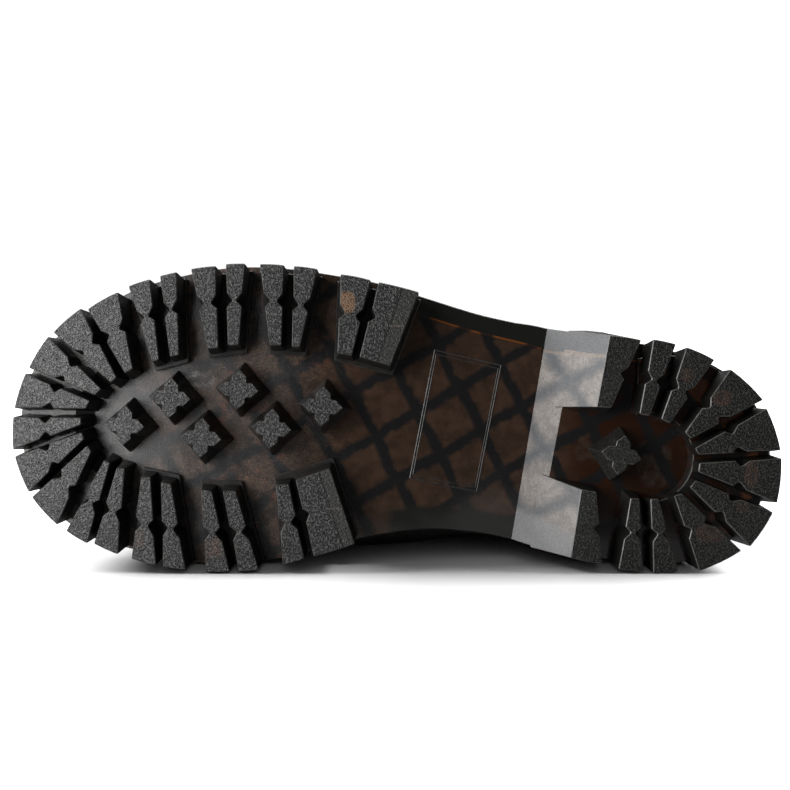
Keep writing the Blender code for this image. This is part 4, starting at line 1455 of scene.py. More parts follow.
@dataclass
class Outsole(Part):
    """The moulded sole: a ribbed slab with its lugs, studs, steps and the waist's bare frame.

    A tuck is how far the wall's lower edge stands in from the outline. The forepart's lugs are the
    outer ones from the toe back, the toe's middle one and the inner ones. The stepped ones, by
    number, share a low step with the next.
    """

    columns: int = 30
    wall_rows: int = 60
    rib_pitch: float = 2.0
    rib_depth: float = 0.7
    rib_power: float = 1.5
    plain_top: float = 2.2
    plain_foot: float = 0.6
    fade: float = 0.5
    foot_easing: Pair = (0.35, 0.4)
    tucks: Table = Table(
        ("x", "lateral", "medial"),
        (
            (-141, -3.6, -3.6), (-128, -2.2, -2.2), (-114, -1.0, -0.8), (-98, -0.2, 0.8),
            (-16, -0.2, 0.9), (4, 0.3, 1.0), (44, 0.2, 1.0), (56, -0.9, 1.0), (68, -1.0, 1.0),
            (80, 0.2, 1.0), (118, 0.0, 0.5), (141, -0.4, -0.4),
        ),
    )
    plinth_margin: float = 1.3
    plinth_tuck: float = 1.7
    plinth_reach: float = 0.6
    plinth_rise: float = 2.5
    plinth_embed: float = 1.0
    plinth_radius: float = 0.6
    plinth_chamfer: float = 0.2
    frame_corners: tuple[Pair, ...] = ((14.6, -25.8), (40.3, -20.1), (30.8, 28.6), (5.1, 22.9))
    frame_gaps: Row = (1.5, 0.85, 1.5, 0.85)
    frame_steps: int = 24
    line_sink: float = 0.15
    below: float = 20.0
    dense: int = 6
    forepart_lugs: tuple[Lug, ...] = (
        Lug((-142.7, -3.7), (-138.3, -16.7), (-113.3, -6.5), (-115.0, -3.5), 0.48),
        Lug((-137.0, -18.7), (-129.4, -30.4), (-109.0, -10.9), (-111.4, -8.6), 0.48),
        Lug((-127.4, -31.8), (-116.7, -40.6), (-103.2, -15.2), (-105.3, -13.1), 0.45),
        Lug((-114.1, -40.3), (-102.6, -46.5), (-97.1, -18.3), (-100.0, -16.5), 0.44),
        Lug((-98.7, -48.6), (-90.6, -51.2), (-87.3, -21.5), (-89.9, -20.7), 0.43),
        Lug((-87.0, -52.3), (-80.7, -53.8), (-80.0, -23.3), (-83.3, -22.6), 0.43),
        Lug((-75.6, -54.9), (-66.4, -56.0), (-65.5, -25.9), (-69.4, -25.5), 0.44),
        Lug((-62.8, -56.7), (-55.6, -56.9), (-58.0, -27.0), (-62.0, -26.8), 0.45),
        Lug((-50.3, -56.7), (-41.3, -56.3), (-42.4, -26.8), (-46.6, -26.8), 0.45),
        Lug((-37.8, -56.0), (-29.0, -54.9), (-35.6, -26.2), (-38.5, -26.2), 0.47),
        Lug((-20.6, -53.0), (-9.5, -50.8), (-16.5, -22.9), (-21.7, -23.9), 0.48),
        Lug((-6.6, -50.1), (8.2, -46.4), (-2.4, -19.2), (-13.6, -22.6), 0.45,
            Notched.TOE, end_radius=150.0),
        Lug((-143.2, -0.5), (-143.2, 11.9), (-116.7, 2.4), (-116.7, -0.2), 0.48),
        Lug((-142.6, 14.3), (-137.0, 27.6), (-115.4, 7.6), (-116.5, 5.2), 0.46),
        Lug((-135.8, 29.4), (-125.9, 39.6), (-112.7, 12.2), (-114.3, 10.1), 0.46),
        Lug((-122.4, 41.7), (-114.3, 46.2), (-105.7, 16.4), (-107.8, 15.4), 0.46),
        Lug((-111.7, 46.2), (-102.7, 50.1), (-100.1, 18.5), (-103.1, 18.1), 0.46),
        Lug((-97.6, 51.6), (-88.4, 54.0), (-90.5, 21.5), (-94.0, 21.5), 0.43),
        Lug((-85.9, 54.5), (-77.4, 55.6), (-82.9, 24.0), (-86.6, 23.3), 0.46),
        Lug((-70.1, 56.3), (-61.3, 56.3), (-67.9, 26.6), (-71.9, 26.1), 0.47),
        Lug((-58.0, 56.3), (-50.6, 55.6), (-59.1, 26.6), (-63.9, 26.6), 0.48),
        Lug((-41.8, 53.8), (-33.8, 51.6), (-39.6, 24.0), (-44.4, 24.4), 0.50),
        Lug((-30.5, 50.8), (-15.3, 46.1), (-24.6, 18.1), (-37.1, 22.6), 0.54,
            Notched.TOE, end_radius=150.0),
    )
    heel_lugs: tuple[Lug, ...] = (
        Lug((78.2, -30.6), (89.9, -28.8), (78.9, -3.9), (73.4, -4.2), 0.50,
            Notched.HEEL, BREAST_RUN, outer_tuck=-0.4),
        Lug((94.3, -29.1), (102.6, -27.3), (92.9, -0.9), (89.2, -1.7), 0.52),
        Lug((106.5, -26.2), (116.8, -21.5), (100.4, 1.8), (97.2, 0.2), 0.53),
        Lug((122.6, -18.1), (134.6, -6.8), (108.1, 7.4), (105.9, 5.1), 0.54),
        Lug((135.9, -3.7), (141.1, 11.7), (110.9, 13.3), (109.6, 10.9), 0.50),
        Lug((141.4, 14.6), (139.7, 31.1), (110.8, 19.6), (111.2, 16.4), 0.48),
        Lug((138.3, 34.5), (129.8, 47.1), (107.7, 25.3), (109.9, 22.7), 0.50),
        Lug((126.6, 48.6), (111.1, 56.0), (101.9, 28.4), (104.8, 27.6), 0.52),
        Lug((103.5, 56.0), (94.3, 57.1), (93.2, 29.5), (96.2, 29.5), 0.52),
        Lug((90.6, 56.3), (81.5, 55.4), (85.9, 29.2), (89.2, 29.5), 0.52),
        Lug((63.9, 51.2), (75.6, 53.4), (73.4, 27.0), (67.7, 26.1), 0.48,
            Notched.HEEL, BREAST_RUN, outer_tuck=-0.4),
    )
    stepped: tuple[int, ...] = (4, 6, 8, 10, 17, 19, 21)
    studs: tuple[Stud, ...] = (
        Stud(-100.2, 2.6), Stud(-83.1, -7.5), Stud(-58.1, -10.6),
        Stud(-71.7, 7.2), Stud(-46.0, 3.8), Stud(-27.1, -4.4),
        Stud(82.6, 13.5, 11.0, wall=Skin.TREAD),
    )
    rings: tuple[Ring, ...] = (
        Ring(OUTLINE.toe_pole, 46.6, (-96.0, 2.0), 25.5, 18.3, (-58.0, 76.0), -1),
        Ring(OUTLINE.heel_pole, 39.2, (94.6, 14.8), 16.8, 15.4, (-105.0, 105.0), 1),
    )
    finishes: tuple[Finish, ...] = (SmokedRubber(), StippledTread(), LugWall(), RampFilm(),
                                    RIBBED_WALL, EasedEdge())

    def wall(self, station: Station, side: Side) -> list[Vector]:
        """Find points down the outer wall at one end of a station.

        Args:
            station: The line across the sole.
            side: Which end of it.

        Returns:
            The points from the top down, with the ribs at an even pitch.
        """
        edge, top, floor = station.edge(side), HEIGHTS.top(station.x), HEIGHTS.floor(station.x)
        tuck = self.tucks.at(edge.x, side.word)
        depth, reach = self.foot_easing
        found = []
        for k in range(self.wall_rows + 1):
            share = k / self.wall_rows
            z = top + (floor - top) * share
            under, over = top - self.plain_top - z, z - floor - self.plain_foot
            band = min(1.0, max(0.0, under / self.fade), max(0.0, over / self.fade))
            groove = (1 - abs(math.sin(math.pi * z / self.rib_pitch))) ** self.rib_power
            corner = depth * max(0.0, 1 - (z - floor) / reach)
            out = edge.top * (1 - share) - tuck * share - self.rib_depth * groove * band - corner
            found.append(Vector((*edge.moved(out), z)))
        return found

    def slab(self) -> Form:
        """Build the slab between the welt and the lugs.

        Returns:
            A closed form.
        """
        loops = []
        stations = OUTLINE.stations()
        for station in stations:
            lateral, medial = (self.wall(station, side) for side in Side)
            shares = [k / self.columns for k in range(1, self.columns)]
            loops.append(lateral + [lateral[-1].lerp(medial[-1], share) for share in shares]
                         + medial[::-1])
        rows = self.wall_rows
        middles = [(a.x + b.x) / 2 for a, b in zip(stations, stations[1:])]
        floors = [Skin.RAMP if BREAST_FOOT_X < x < BREAST_FLOOR_X else Skin.FLOOR for x in middles]

        def finish(i: int, j: int) -> int:
            """Finish of the wall or, between the walls, of the breast or the floor."""
            return (floors[i] if rows <= j < rows + self.columns else Skin.RIBBED).value

        made = Form().grid(loops, finish, around=True)
        return made.close_ends(len(loops[0]), Skin.RIBBED.value, Skin.RIBBED.value)

    def plinth(self, first: Lug, second: Lug) -> Form:
        """Build the low step that two neighbouring lugs share.

        Args:
            first: The lug nearer the toe.
            second: The other.

        Returns:
            A closed form.
        """
        a, b = first.corners(), second.corners()
        inward = ((a[2] + a[3]) - (a[0] + a[1])).normalized()
        margin = (b[1] - a[0]).normalized() * self.plinth_margin
        out, reach = inward * self.plinth_tuck, inward * (first.inner_slope + self.plinth_reach)
        corners = (a[0] + out - margin, b[1] + out + margin, b[2] + reach + margin,
                   a[3] + reach - margin)
        outline = eased(corners, range(4), self.plinth_radius)
        level = TREAD_DEPTH - self.plinth_rise
        made = Block(outline, outline, lambda x: HEIGHTS.tread(x) + level,
                     lambda x: HEIGHTS.tread(x) + TREAD_DEPTH + self.plinth_embed,
                     self.plinth_chamfer)
        return made.form(Skin.WALL, Skin.WALL)

    def frame_line(self, ground: BVHTree, corners: Sequence[Vector], half: float = 0.24,
                   proud: float = 0.3) -> Form:
        """Lay a fine raised line on the waist round four corners.

        Args:
            ground: The slab.
            corners: Corners in plan.
            half: Half the line's width.
            proud: How far it stands out.

        Returns:
            A form, sunk into the slab on both sides.
        """
        path = []
        for k, corner in enumerate(corners):
            after = corners[(k + 1) % len(corners)]
            path += [corner.lerp(after, i / self.frame_steps) for i in range(self.frame_steps)]
        outer, inner = inset(path, -half), inset(path, half)
        lifts = (-self.line_sink, proud * 0.6, proud, proud * 0.6, -self.line_sink)
        rows = []
        for line, lift in zip((outer, outer, path, inner, inner), lifts):
            row = []
            for point in line:
                hit = ground.ray_cast(Vector((*point, -self.below)), Vector((0, 0, 1)))[0]
                row.append((*point, hit.z - lift))
            rows.append(row)
        return Form().grid(rows, Skin.EDGE.value, around=True)

    def raised_frame(self, slab: Form) -> Form:
        """Build the double line round the waist's bare panel.

        Args:
            slab: The slab that it lies on.

        Returns:
            Both lines.
        """
        ground = BVHTree.FromPolygons(slab.points, slab.faces)
        corners = [Vector(c) for c in self.frame_corners]
        count = len(corners)
        found = []
        for k in range(count):
            before, after = corners[k - 1], corners[(k + 1) % count]
            back, ahead = (before - corners[k]).normalized(), (after - corners[k]).normalized()
            found.append(corners[k] + ahead * self.frame_gaps[k - 1] + back * self.frame_gaps[k])
        return self.frame_line(ground, corners).join(self.frame_line(ground, found, 0.16, 0.2))

    def edge_distance(self, side: Side) -> Callable[[Vector], float]:
        """Make a rule for a point's distance in plan from one side of the outline.

        Args:
            side: Which side.

        Returns:
            The rule.
        """
        edges = [Vector((*station.edge(side).moved(0.0), 0.0)) for station in OUTLINE.stations()]
        dense = []
        for a, b in zip(edges, edges[1:]):
            dense += [a.lerp(b, t / self.dense) for t in range(self.dense)]
        tree = KDTree(len(dense))
        for i, point in enumerate(dense):
            tree.insert(point, i)
        tree.balance()
        return lambda point: tree.find(Vector((point.x, point.y, 0)))[2]

    def form(self) -> Form:
        """Build everything that is moulded in one.

        Returns:
            The joined forms.
        """
        slab = self.slab()
        made = Form().join(slab).join(self.raised_frame(slab))
        for lug in self.forepart_lugs + self.heel_lugs:
            made.join(lug.form(HEIGHTS.root))
        for k in self.stepped:
            made.join(self.plinth(*self.forepart_lugs[k:k + 2]))
        for stud in self.studs:
            made.join(stud.form(HEIGHTS.root))
        for ring in self.rings:
            made.join(ring.form())
        return made

    def piece(self) -> Piece:
        """Form and finish the outsole."""
        marks = {"from_" + side.word: self.edge_distance(side) for side in Side}
        return Piece("moulded_outsole", self.form(), self.finishes, "outsole", "sole_rubber", 22.0,
                     marks=marks)


# --- leather and trim finishes


@dataclass(frozen=True)
class BlackLeather(Finish):
    """Smooth black leather with a fine grain and soft polish."""

    name: str = "black leather"
    colour: Colour = (0.011, 0.011, 0.011)
    grain: float = 1.1
    rough: Pair = (0.27, 0.42)

    def dress(self, weave: Weave) -> None:
        """Build the material's nodes.

        Args:
            weave: The material.
        """
        polish = weave.noise(24.0, 3.0)
        fine = weave.bump(weave.cells(self.grain, "SMOOTH_F1"), 0.6, 0.12)
        normal = weave.bump(weave.noise(9.0, 3.0, 0.55), 0.25, 0.35, fine)
        weave.finish(Base_Color=weave.tint(polish, self.colour, 0.7, 1.6),
                     Roughness=weave.gloss(polish, self.rough), Normal=normal)


LINING = Grained("lining leather", (0.105, 0.074, 0.050), (18.0, 4.0), (), (0.7, 1.3), (0.6, 0.8),
                 cell=0.9)
SOCK_LEATHER = Grained("sock leather", (0.120, 0.084, 0.056), (26.0, 4.0), (), (0.8, 1.2),
                       (0.55, 0.75), cell=1.0, bump=(0.4, 0.07),
                       worn=(Glow(90, 14, 30, 22, 0.5), Glow(-62, 0, 34, 36, 0.35)))
WELT_STRIP = Grained("welt strip", (0.014, 0.0135, 0.013), (4.0, 4.0, 0.6), (0.4, 0.8), (1.0, 2.0),
                     (0.42, 0.6), cell=0.8, bump=(0.4, 0.08))


@dataclass(frozen=True)
class BindingTape(Finish):
    """Woven tape folded over the topline."""

    name: str = "binding tape"
    colour: Colour = (0.014, 0.014, 0.015)
    thread: float = 0.5
    ways: tuple[Triple, ...] = ((0.7, 0.5, 0.5), (-0.5, 0.7, 0.5))
    rough: Pair = (0.65, 0.85)

    def dress(self, weave: Weave) -> None:
        """Build the material's nodes.

        Args:
            weave: The material.
        """
        turn = math.tau / self.thread
        cloth = weave.times(*(weave.math("SINE", weave.times(weave.along(way), turn))
                              for way in self.ways))
        fuzz = weave.noise(1.2, 4.0, 0.7)
        normal = weave.bump(weave.math("ADD", cloth, fuzz), 0.5, 0.07)
        weave.finish(Base_Color=weave.tint(fuzz, self.colour, 0.7, 1.9),
                     Roughness=weave.gloss(fuzz, self.rough), Normal=normal)


@dataclass(frozen=True)
class Thread(Finish):
    """Waxed black sewing thread with its twist."""

    name: str = "waxed thread"
    colour: Colour = (0.022, 0.021, 0.020)
    twist: float = 0.7
    way: Triple = (0.6, 0.6, 0.5)
    rough: Pair = (0.4, 0.55)

    def dress(self, weave: Weave) -> None:
        """Build the material's nodes.

        Args:
            weave: The material.
        """
        twist = weave.math("SINE", weave.times(weave.along(self.way), math.tau / self.twist))
        weave.finish(Base_Color=weave.tint(weave.noise(1.5), self.colour, 1.0, 2.0),
                     Roughness=weave.ramp(twist, -1.0, 1.0, *self.rough),
                     Normal=weave.bump(twist, 0.6, 0.06))


# --- the last


@dataclass(frozen=True)
class Meridian:
    """Half a cross-section of the upper, from the feather edge to the ridge or the collar."""

    foot: Vector
    base: float
    ridge: Vector
    peak: float
    x: float
    squareness: float
    bulge: float
    lean: float
    stop: float


@dataclass(frozen=True)
class Last:
    """The form that the upper is drawn over."""

    throat_run: float = 20.0
    throat_squareness: float = 2.4
    collar_ceiling: float = 0.98
    bulge_top: float = 0.8
    nudge: float = 0.02
    step: float = 0.5
    inside: float = 25.0
    low_angle: float = 0.3

    def foot(self, edge: Edge, side: Side, further: float = 0.0) -> Vector:
        """Where the upper meets the sole, or a point further out."""
        return edge.moved(edge.top - SECTIONS.at(edge.x, side.word + "_margin") + further)

    def ridge(self, x: float) -> Vector:
        """Top of the section, on the line between the toe's and the heel's poles."""
        toe, heel = Vector(OUTLINE.toe_pole), Vector(OUTLINE.heel_pole)
        return toe.lerp(heel, (min(max(x, toe.x), heel.x) - toe.x) / (heel.x - toe.x))

    def stop(self, x: float, peak: float, squareness: float) -> float:
        """Angle at which the wall ends.

        Args:
            x: Place along the shoe.
            peak: Height of the section over the sole.
            squareness: Power of the section's curve.

        Returns:
            A right angle over the forepart, and less behind the throat.
        """
        if x <= THROAT_X:
            return math.pi / 2
        height = min(COLLARS.at(x, "height") / peak, self.collar_ceiling)
        width = (1 - height**squareness) ** (1 / squareness)
        share = min(1.0, (x - THROAT_X) / self.throat_run)
        width *= (1 - (1 - share) ** self.throat_squareness) ** (1 / self.throat_squareness)
        return math.atan2((1 - width**squareness) ** (1 / squareness), width)

    def meridian(self, station: Station, side: Side) -> Meridian:
        """Find the half section on one side of a station.

        Args:
            station: The line across the sole.
            side: Which side.

        Returns:
            The half section.
        """
        x, ridge = station.x, self.ridge(station.x)
        peak = SECTIONS.at(ridge.x, "ridge")
        squareness, bulge, lean = (SECTIONS.at(x, name) for name in ("squareness", "bulge", "lean"))
        return Meridian(self.foot(station.edge(side), side), HEIGHTS.top(x) + GAP, ridge,
                        HEIGHTS.top(ridge.x) + peak, x, squareness, bulge, lean,
                        self.stop(x, peak, squareness))

    def point(self, line: Meridian, angle: float) -> Vector:
        """Find a point of the upper's outer face.

        Args:
            line: Its half section.
            angle: Angle from the horizontal.

        Returns:
            The point.
        """
        c, s = abs(math.cos(angle)), abs(math.sin(angle))
        reach = (c**line.squareness + s**line.squareness) ** (-1 / line.squareness)
        width, height = reach * c, reach * s
        swell = line.bulge * math.sin(math.pi * min(1.0, height / self.bulge_top))
        plan = line.ridge.lerp(line.foot, width * (1 + swell - line.lean * height**2))
        return Vector((*plan, line.base + (line.peak - line.base) * height))

    @lru_cache(maxsize=None)
    def ring(self) -> tuple[Meridian, ...]:
        """All half sections: along the outer side from heel to toe, and back along the inner."""
        ways = ((Side.LATERAL, OUTLINE.stations()[::-1]), (Side.MEDIAL, OUTLINE.stations()))
        return tuple(self.meridian(s, side) for side, stations in ways for s in stations)

    def at(self, i: int, share: float) -> Vector:
        """Point at a share of the way up half section i."""
        return self.up(self.ring()[i % len(self.ring())], share)

    def up(self, line: Meridian, share: float) -> Vector:
        """Point at a share of the way up a half section."""
        return self.point(line, line.stop * share)

    def normal(self, i: int, share: float) -> Vector:
        """Find the outward normal at a point of the outer face.

        Args:
            i: Number of its half section.
            share: Share of the way up.

        Returns:
            The normal.
        """
        low, high = max(share - self.nudge, 0.0), min(share + self.nudge, 1.0)
        up = self.at(i, high) - self.at(i, low)
        along = self.at(i + 1, share) - self.at(i - 1, share)
        line = self.ring()[i % len(self.ring())]
        out = self.at(i, share) - Vector((*line.ridge, HEIGHTS.top(line.x)))
        return normal_of(up, along, lambda found: found.dot(out) > 0)

    def surface(self, x: float, side: Side, angle: float) -> Spot:
        """Find a point and the normal of the forepart.

        Args:
            x: Place along the shoe.
            side: Which side.
            angle: Angle from the horizontal, from the feather edge up.

        Returns:
            The point and the normal.
        """

        def point(at_x: float, at_angle: float) -> Vector:
            """Point of the section at a place along the shoe."""
            lateral, medial = (OUTLINE.side_edge(at_x, end) for end in Side)
            return self.point(self.meridian(Station(at_x, lateral, medial), side), at_angle)

        here = point(x, angle)
        high, low = min(angle + self.nudge, math.pi / 2), max(angle - self.nudge, 0)
        along = point(x + self.step, angle) - point(x - self.step, angle)
        steep = angle < self.low_angle
        return here, normal_of(point(x, high) - point(x, low), along,
                               lambda found: found.z > 0 or (steep and found.y * here.y > 0))

    def outward(self, point: Vector) -> Vector:
        """Direction out of the shoe's inside at a point."""
        ridge = self.ridge(point.x)
        return point - Vector((*ridge, HEIGHTS.top(point.x) + self.inside))


LAST = Last()


# --- upper


@dataclass(frozen=True)
class Crease:
    """A soft trough or ridge across the forepart, deepest over the middle."""

    x: float
    slant: float
    half_width: float
    depth: float
    reach: float = 26.0

    def push(self, point: Vector, middle: float) -> float:
        """How far the crease presses a point in."""
        off = (point.x - self.x - self.slant * (point.y - middle)) / self.half_width
        return self.depth * math.exp(-off * off - ((point.y - middle) / self.reach) ** 4)


@dataclass
class Upper(Part):
    """The hollow leather shell, with the soft folds of the forepart."""

    rows: int = 26
    creased_to: float = -20.0
    creases: tuple[Crease, ...] = (
        Crease(-57.0, 0.10, 2.6, 0.85), Crease(-50.0, -0.06, 4.0, -0.60),
        Crease(-43.5, 0.05, 2.8, 1.10), Crease(-37.0, 0.0, 3.6, -0.50),
        Crease(-32.0, -0.08, 2.4, 0.65, 20.0),
    )

    def form(self) -> Form:
        """Build the outer face.

        Returns:
            An open form; the wall is added to it inwards.
        """
        grid = []
        for i, line in enumerate(LAST.ring()):
            row = []
            for j in range(self.rows + 1):
                point = LAST.at(i, j / self.rows)
                if point.x < self.creased_to:
                    point.z -= sum(crease.push(point, line.ridge.y) for crease in self.creases)
                row.append(point)
            grid.append(row)
        return Form().grid(grid, closed=True)

    def piece(self) -> Piece:
        """Form and finish the upper."""
        return Piece("leather_upper", self.form(), (BlackLeather(), LINING), "upper",
                     "upper_leather", 40.0, wall=WALL, outward=LAST.outward)


@dataclass
class ApronSeam(Part):
    """The rounded raised seam round the top of the forepart."""

    degrees: float = 57.0
    half_deg: float = 2.3
    height: float = 1.8
    end_x: float = -24.0
    steps: int = 4
    back_share: float = 0.7
    back_lift: float = 0.15

    def form(self) -> Form:
        """Build the bead, from side to side round the toe.

        Returns:
            A closed form.
        """
        rows = []
        for i, line in enumerate(LAST.ring()):
            if line.x > self.end_x:
                continue
            spots = []
            for k in range(-self.steps, self.steps + 1):
                across = k / self.steps
                spots.append((across, GAP + self.height * math.sqrt(max(0.0, 1 - across**2))))
            spots += [(self.back_share * k, self.back_lift) for k in (1, 0, -1)]
            row = []
            for across, lift in spots:
                share = (self.degrees + self.half_deg * across) / 90
                row.append(LAST.at(i, share) + LAST.normal(i, share) * lift)
            rows.append(row)
        return Form().grid(rows, around=True).close_ends(len(rows[0]))

    def piece(self) -> Piece:
        """Form and finish the seam."""
        return Piece("sewn_apron_seam", self.form(), (BlackLeather(),), "apron_seam",
                     "upper_leather", 60.0)


@dataclass
class SaddleStrap(Part):
    """The band over the instep, widening to the sole, with a lens-shaped slot."""

    front: float = -26.0
    rear: float = -4.0
    flare: float = 5.0
    gap: float = 0.6
    height: float = 1.6
    foot_deg: float = 11.0
    rows: int = 40
    columns: int = 9
    slot_half: float = 12.0
    slot_width: float = 6.0
    stitch_inset: float = 2.2

    def ribbon(self) -> list[tuple[Side, float]]:
        """Find the angles of the strap's rows.

        Returns:
            A side and an angle each, over the instep from the outer foot to the inner.
        """
        low = math.radians(self.foot_deg)
        angles = [low + (math.pi / 2 - low) * k / self.rows for k in range(self.rows + 1)]
        return [(Side.LATERAL, a) for a in angles] + [(Side.MEDIAL, a) for a in angles[-2::-1]]

    def ends(self, angle: float) -> Pair:
        """Front and rear edge at an angle."""
        spread = self.flare * math.cos(angle) ** 2
        return self.front - spread, self.rear + spread

    def lifted(self, x: float, side: Side, angle: float) -> Spot:
        """Point of the strap's outer face, and its normal."""
        point, normal = LAST.surface(x, side, angle)
        return point + normal * (self.gap + self.height), normal

    def form(self) -> Form:
        """Build the outer face, in two halves that part round the slot.

        Returns:
            An open form; the wall is added to it inwards.
        """
        middle = (self.front + self.rear) / 2
        ridge = LAST.ridge(middle).y
        halves: tuple[list, list] = ([], [])
        for side, angle in self.ribbon():
            front, rear = self.ends(angle)
            across = min(1.0, abs(LAST.surface(middle, side, angle)[0].y - ridge) / self.slot_half)
            gap = self.slot_width / 2 * math.cos(math.pi / 2 * across)
            for half, (a, b) in zip(halves, ((front, middle - gap), (middle + gap, rear))):
                xs = [a + (b - a) * k / self.columns for k in range(self.columns + 1)]
                half.append([self.lifted(x, side, angle)[0] for x in xs])
        return Form().grid(halves[0]).grid(halves[1])

    def edge_path(self, front: bool) -> list[Spot]:
        """Places along the front or the rear edge, for its stitches."""
        pick, inside = (0, self.stitch_inset) if front else (1, -self.stitch_inset)
        return [self.lifted(self.ends(a)[pick] + inside, side, a) for side, a in self.ribbon()]

    def piece(self) -> Piece:
        """Form and finish the strap."""
        return Piece("leather_saddle_strap", self.form(), (BlackLeather(), LINING),
                     "saddle_strap", "upper_leather", 40.0, wall=self.height,
                     outward=LAST.outward, weld=0.02)


@dataclass
class ToplineBinding(Part):
    """Tape folded over the edge of the collar."""

    leg: float = 3.2
    gap: float = 0.7
    thick: float = 0.9
    ease: float = 0.3
    fold_power: float = 0.7
    outer_steps: int = 12
    inner_steps: int = 8
    stitch_up: float = 1.1
    over: Triple = (55.0, 10.0, 30.0)

    def fold(self, radius: float, rise: float, steps: int) -> list[Pair]:
        """Find points of one face of the fold.

        Args:
            radius: Half the fold's width.
            rise: Its height.
            steps: How many steps it takes.

        Returns:
            Steps out and up from the fold's middle, from the outer foot over to the inner.
        """
        found = [(radius, 0.0)]
        for k in range(1, steps):
            turn = math.pi * k / steps
            found.append((radius * math.cos(turn), rise * math.sin(turn) ** self.fold_power))
        return found + [(-radius, 0.0)]

    def section(self) -> list[Pair]:
        """Find the section of the folded tape.

        Returns:
            Its points, outwards and upwards from the rim.
        """
        inner = (WALL + 2 * self.gap) / 2
        outer, foot = inner + self.thick, -self.leg
        marks = [(outer, foot + self.ease)]
        marks += self.fold(outer, self.gap + self.thick, self.outer_steps)
        marks += [(-outer, foot + self.ease), (-outer + self.ease, foot), (-inner, foot)]
        marks += self.fold(inner, self.gap, self.inner_steps)[::-1]
        marks += [(inner, foot), (outer - self.ease, foot)]
        return [(self.gap - inner + out, up) for out, up in marks]

    def rim(self) -> tuple[tuple[Vector, Vector, Vector], ...]:
        """Find the collar's rim, once round.

        Returns:
            At each half section that ends at the collar, its end and the ways out and up.
        """
        ring = LAST.ring()
        path = [i for i, line in enumerate(ring) if line.x >= THROAT_X]
        path.remove(max(i for i in path if ring[i].x == THROAT_X))
        found = []
        for k, i in enumerate(path):
            end, out = LAST.at(i, 1.0), LAST.normal(i, 1.0 - LAST.nudge)
            way = LAST.at(path[(k + 1) % len(path)], 1.0) - LAST.at(path[k - 1], 1.0)
            over = Vector(self.over) + Vector((0, 0, end.z)) - end
            found.append((end, out, normal_of(out, way, lambda up: up.dot(over) > 0)))
        return tuple(found)

    def form(self) -> Form:
        """The folded tape carried round the rim."""
        rows = [[end + out * a + up * b for a, b in self.section()] for end, out, up in self.rim()]
        return Form().grid(rows, around=True, closed=True)

    def stitch_path(self) -> list[Spot]:
        """Places on the tape's outer leg, for its stitches."""
        rim, lift, drop = self.rim(), self.gap + self.thick, self.leg - self.stitch_up
        return [(end + out * lift - up * drop, out) for end, out, up in (*rim, rim[0])]

    def piece(self) -> Piece:
        """Form and finish the binding."""
        return Piece("folded_topline_binding", self.form(), (BindingTape(),), "topline_binding",
                     "binding_tape", 50.0)


@dataclass
class Backstay(Part):
    """The strip up the back of the heel."""

    half_deg: float = 10.5
    height: float = 1.2
    foot: float = 0.08
    top: float = 0.88
    rows: int = 30
    columns: int = 12
    rounding: float = 0.35
    stitch_share: float = 0.78
    stitch_ends: float = 0.02

    def spot(self, degrees: float, share: float) -> Spot:
        """Find a point and the normal of the heel's back.

        Args:
            degrees: Angle about the heel's pole.
            share: Share of the way up.

        Returns:
            The point and the normal.
        """

        def point(at_deg: float, at_share: float) -> Vector:
            """Point of the upper at an angle about the heel's pole."""
            edge = OUTLINE.arc_edge(True, Side(1 if at_deg >= 0 else -1), abs(at_deg))
            return LAST.up(LAST.meridian(Station(edge.x, edge, edge), Side.LATERAL), at_share)

        up = point(degrees, share + LAST.nudge) - point(degrees, share - LAST.nudge)
        across = point(degrees + 1, share) - point(degrees - 1, share)
        return point(degrees, share), normal_of(up, across, lambda found: found.x > 0)

    def form(self) -> Form:
        """Build the outer face, its sides a little rounded.

        Returns:
            An open form; the wall is added to it inwards.
        """
        rows = []
        for j in range(self.rows + 1):
            share = self.foot + (self.top - self.foot) * j / self.rows
            row = []
            for k in range(self.columns + 1):
                across = 2 * k / self.columns - 1
                point, normal = self.spot(self.half_deg * across, share)
                row.append(point + normal * (GAP + self.height - self.rounding * across**8))
            rows.append(row)
        return Form().grid(rows)

    def stitch_path(self, way: int) -> list[Spot]:
        """Find places along one side, for its stitches.

        Args:
            way: -1 for the outer side and 1 for the inner.

        Returns:
            The places from the foot up.
        """
        low, span = self.foot + self.stitch_ends, self.top - self.foot - 2 * self.stitch_ends
        shares = [low + span * j / self.rows for j in range(self.rows + 1)]
        spots = [self.spot(self.stitch_share * self.half_deg * way, share) for share in shares]
        return [(point + normal * (GAP + self.height), normal) for point, normal in spots]

    def piece(self) -> Piece:
        """Form and finish the strip."""
        return Piece("leather_backstay", self.form(), (BlackLeather(), LINING), "backstay",
                     "upper_leather", 40.0, wall=self.height, outward=LAST.outward)


# --- welt and insole


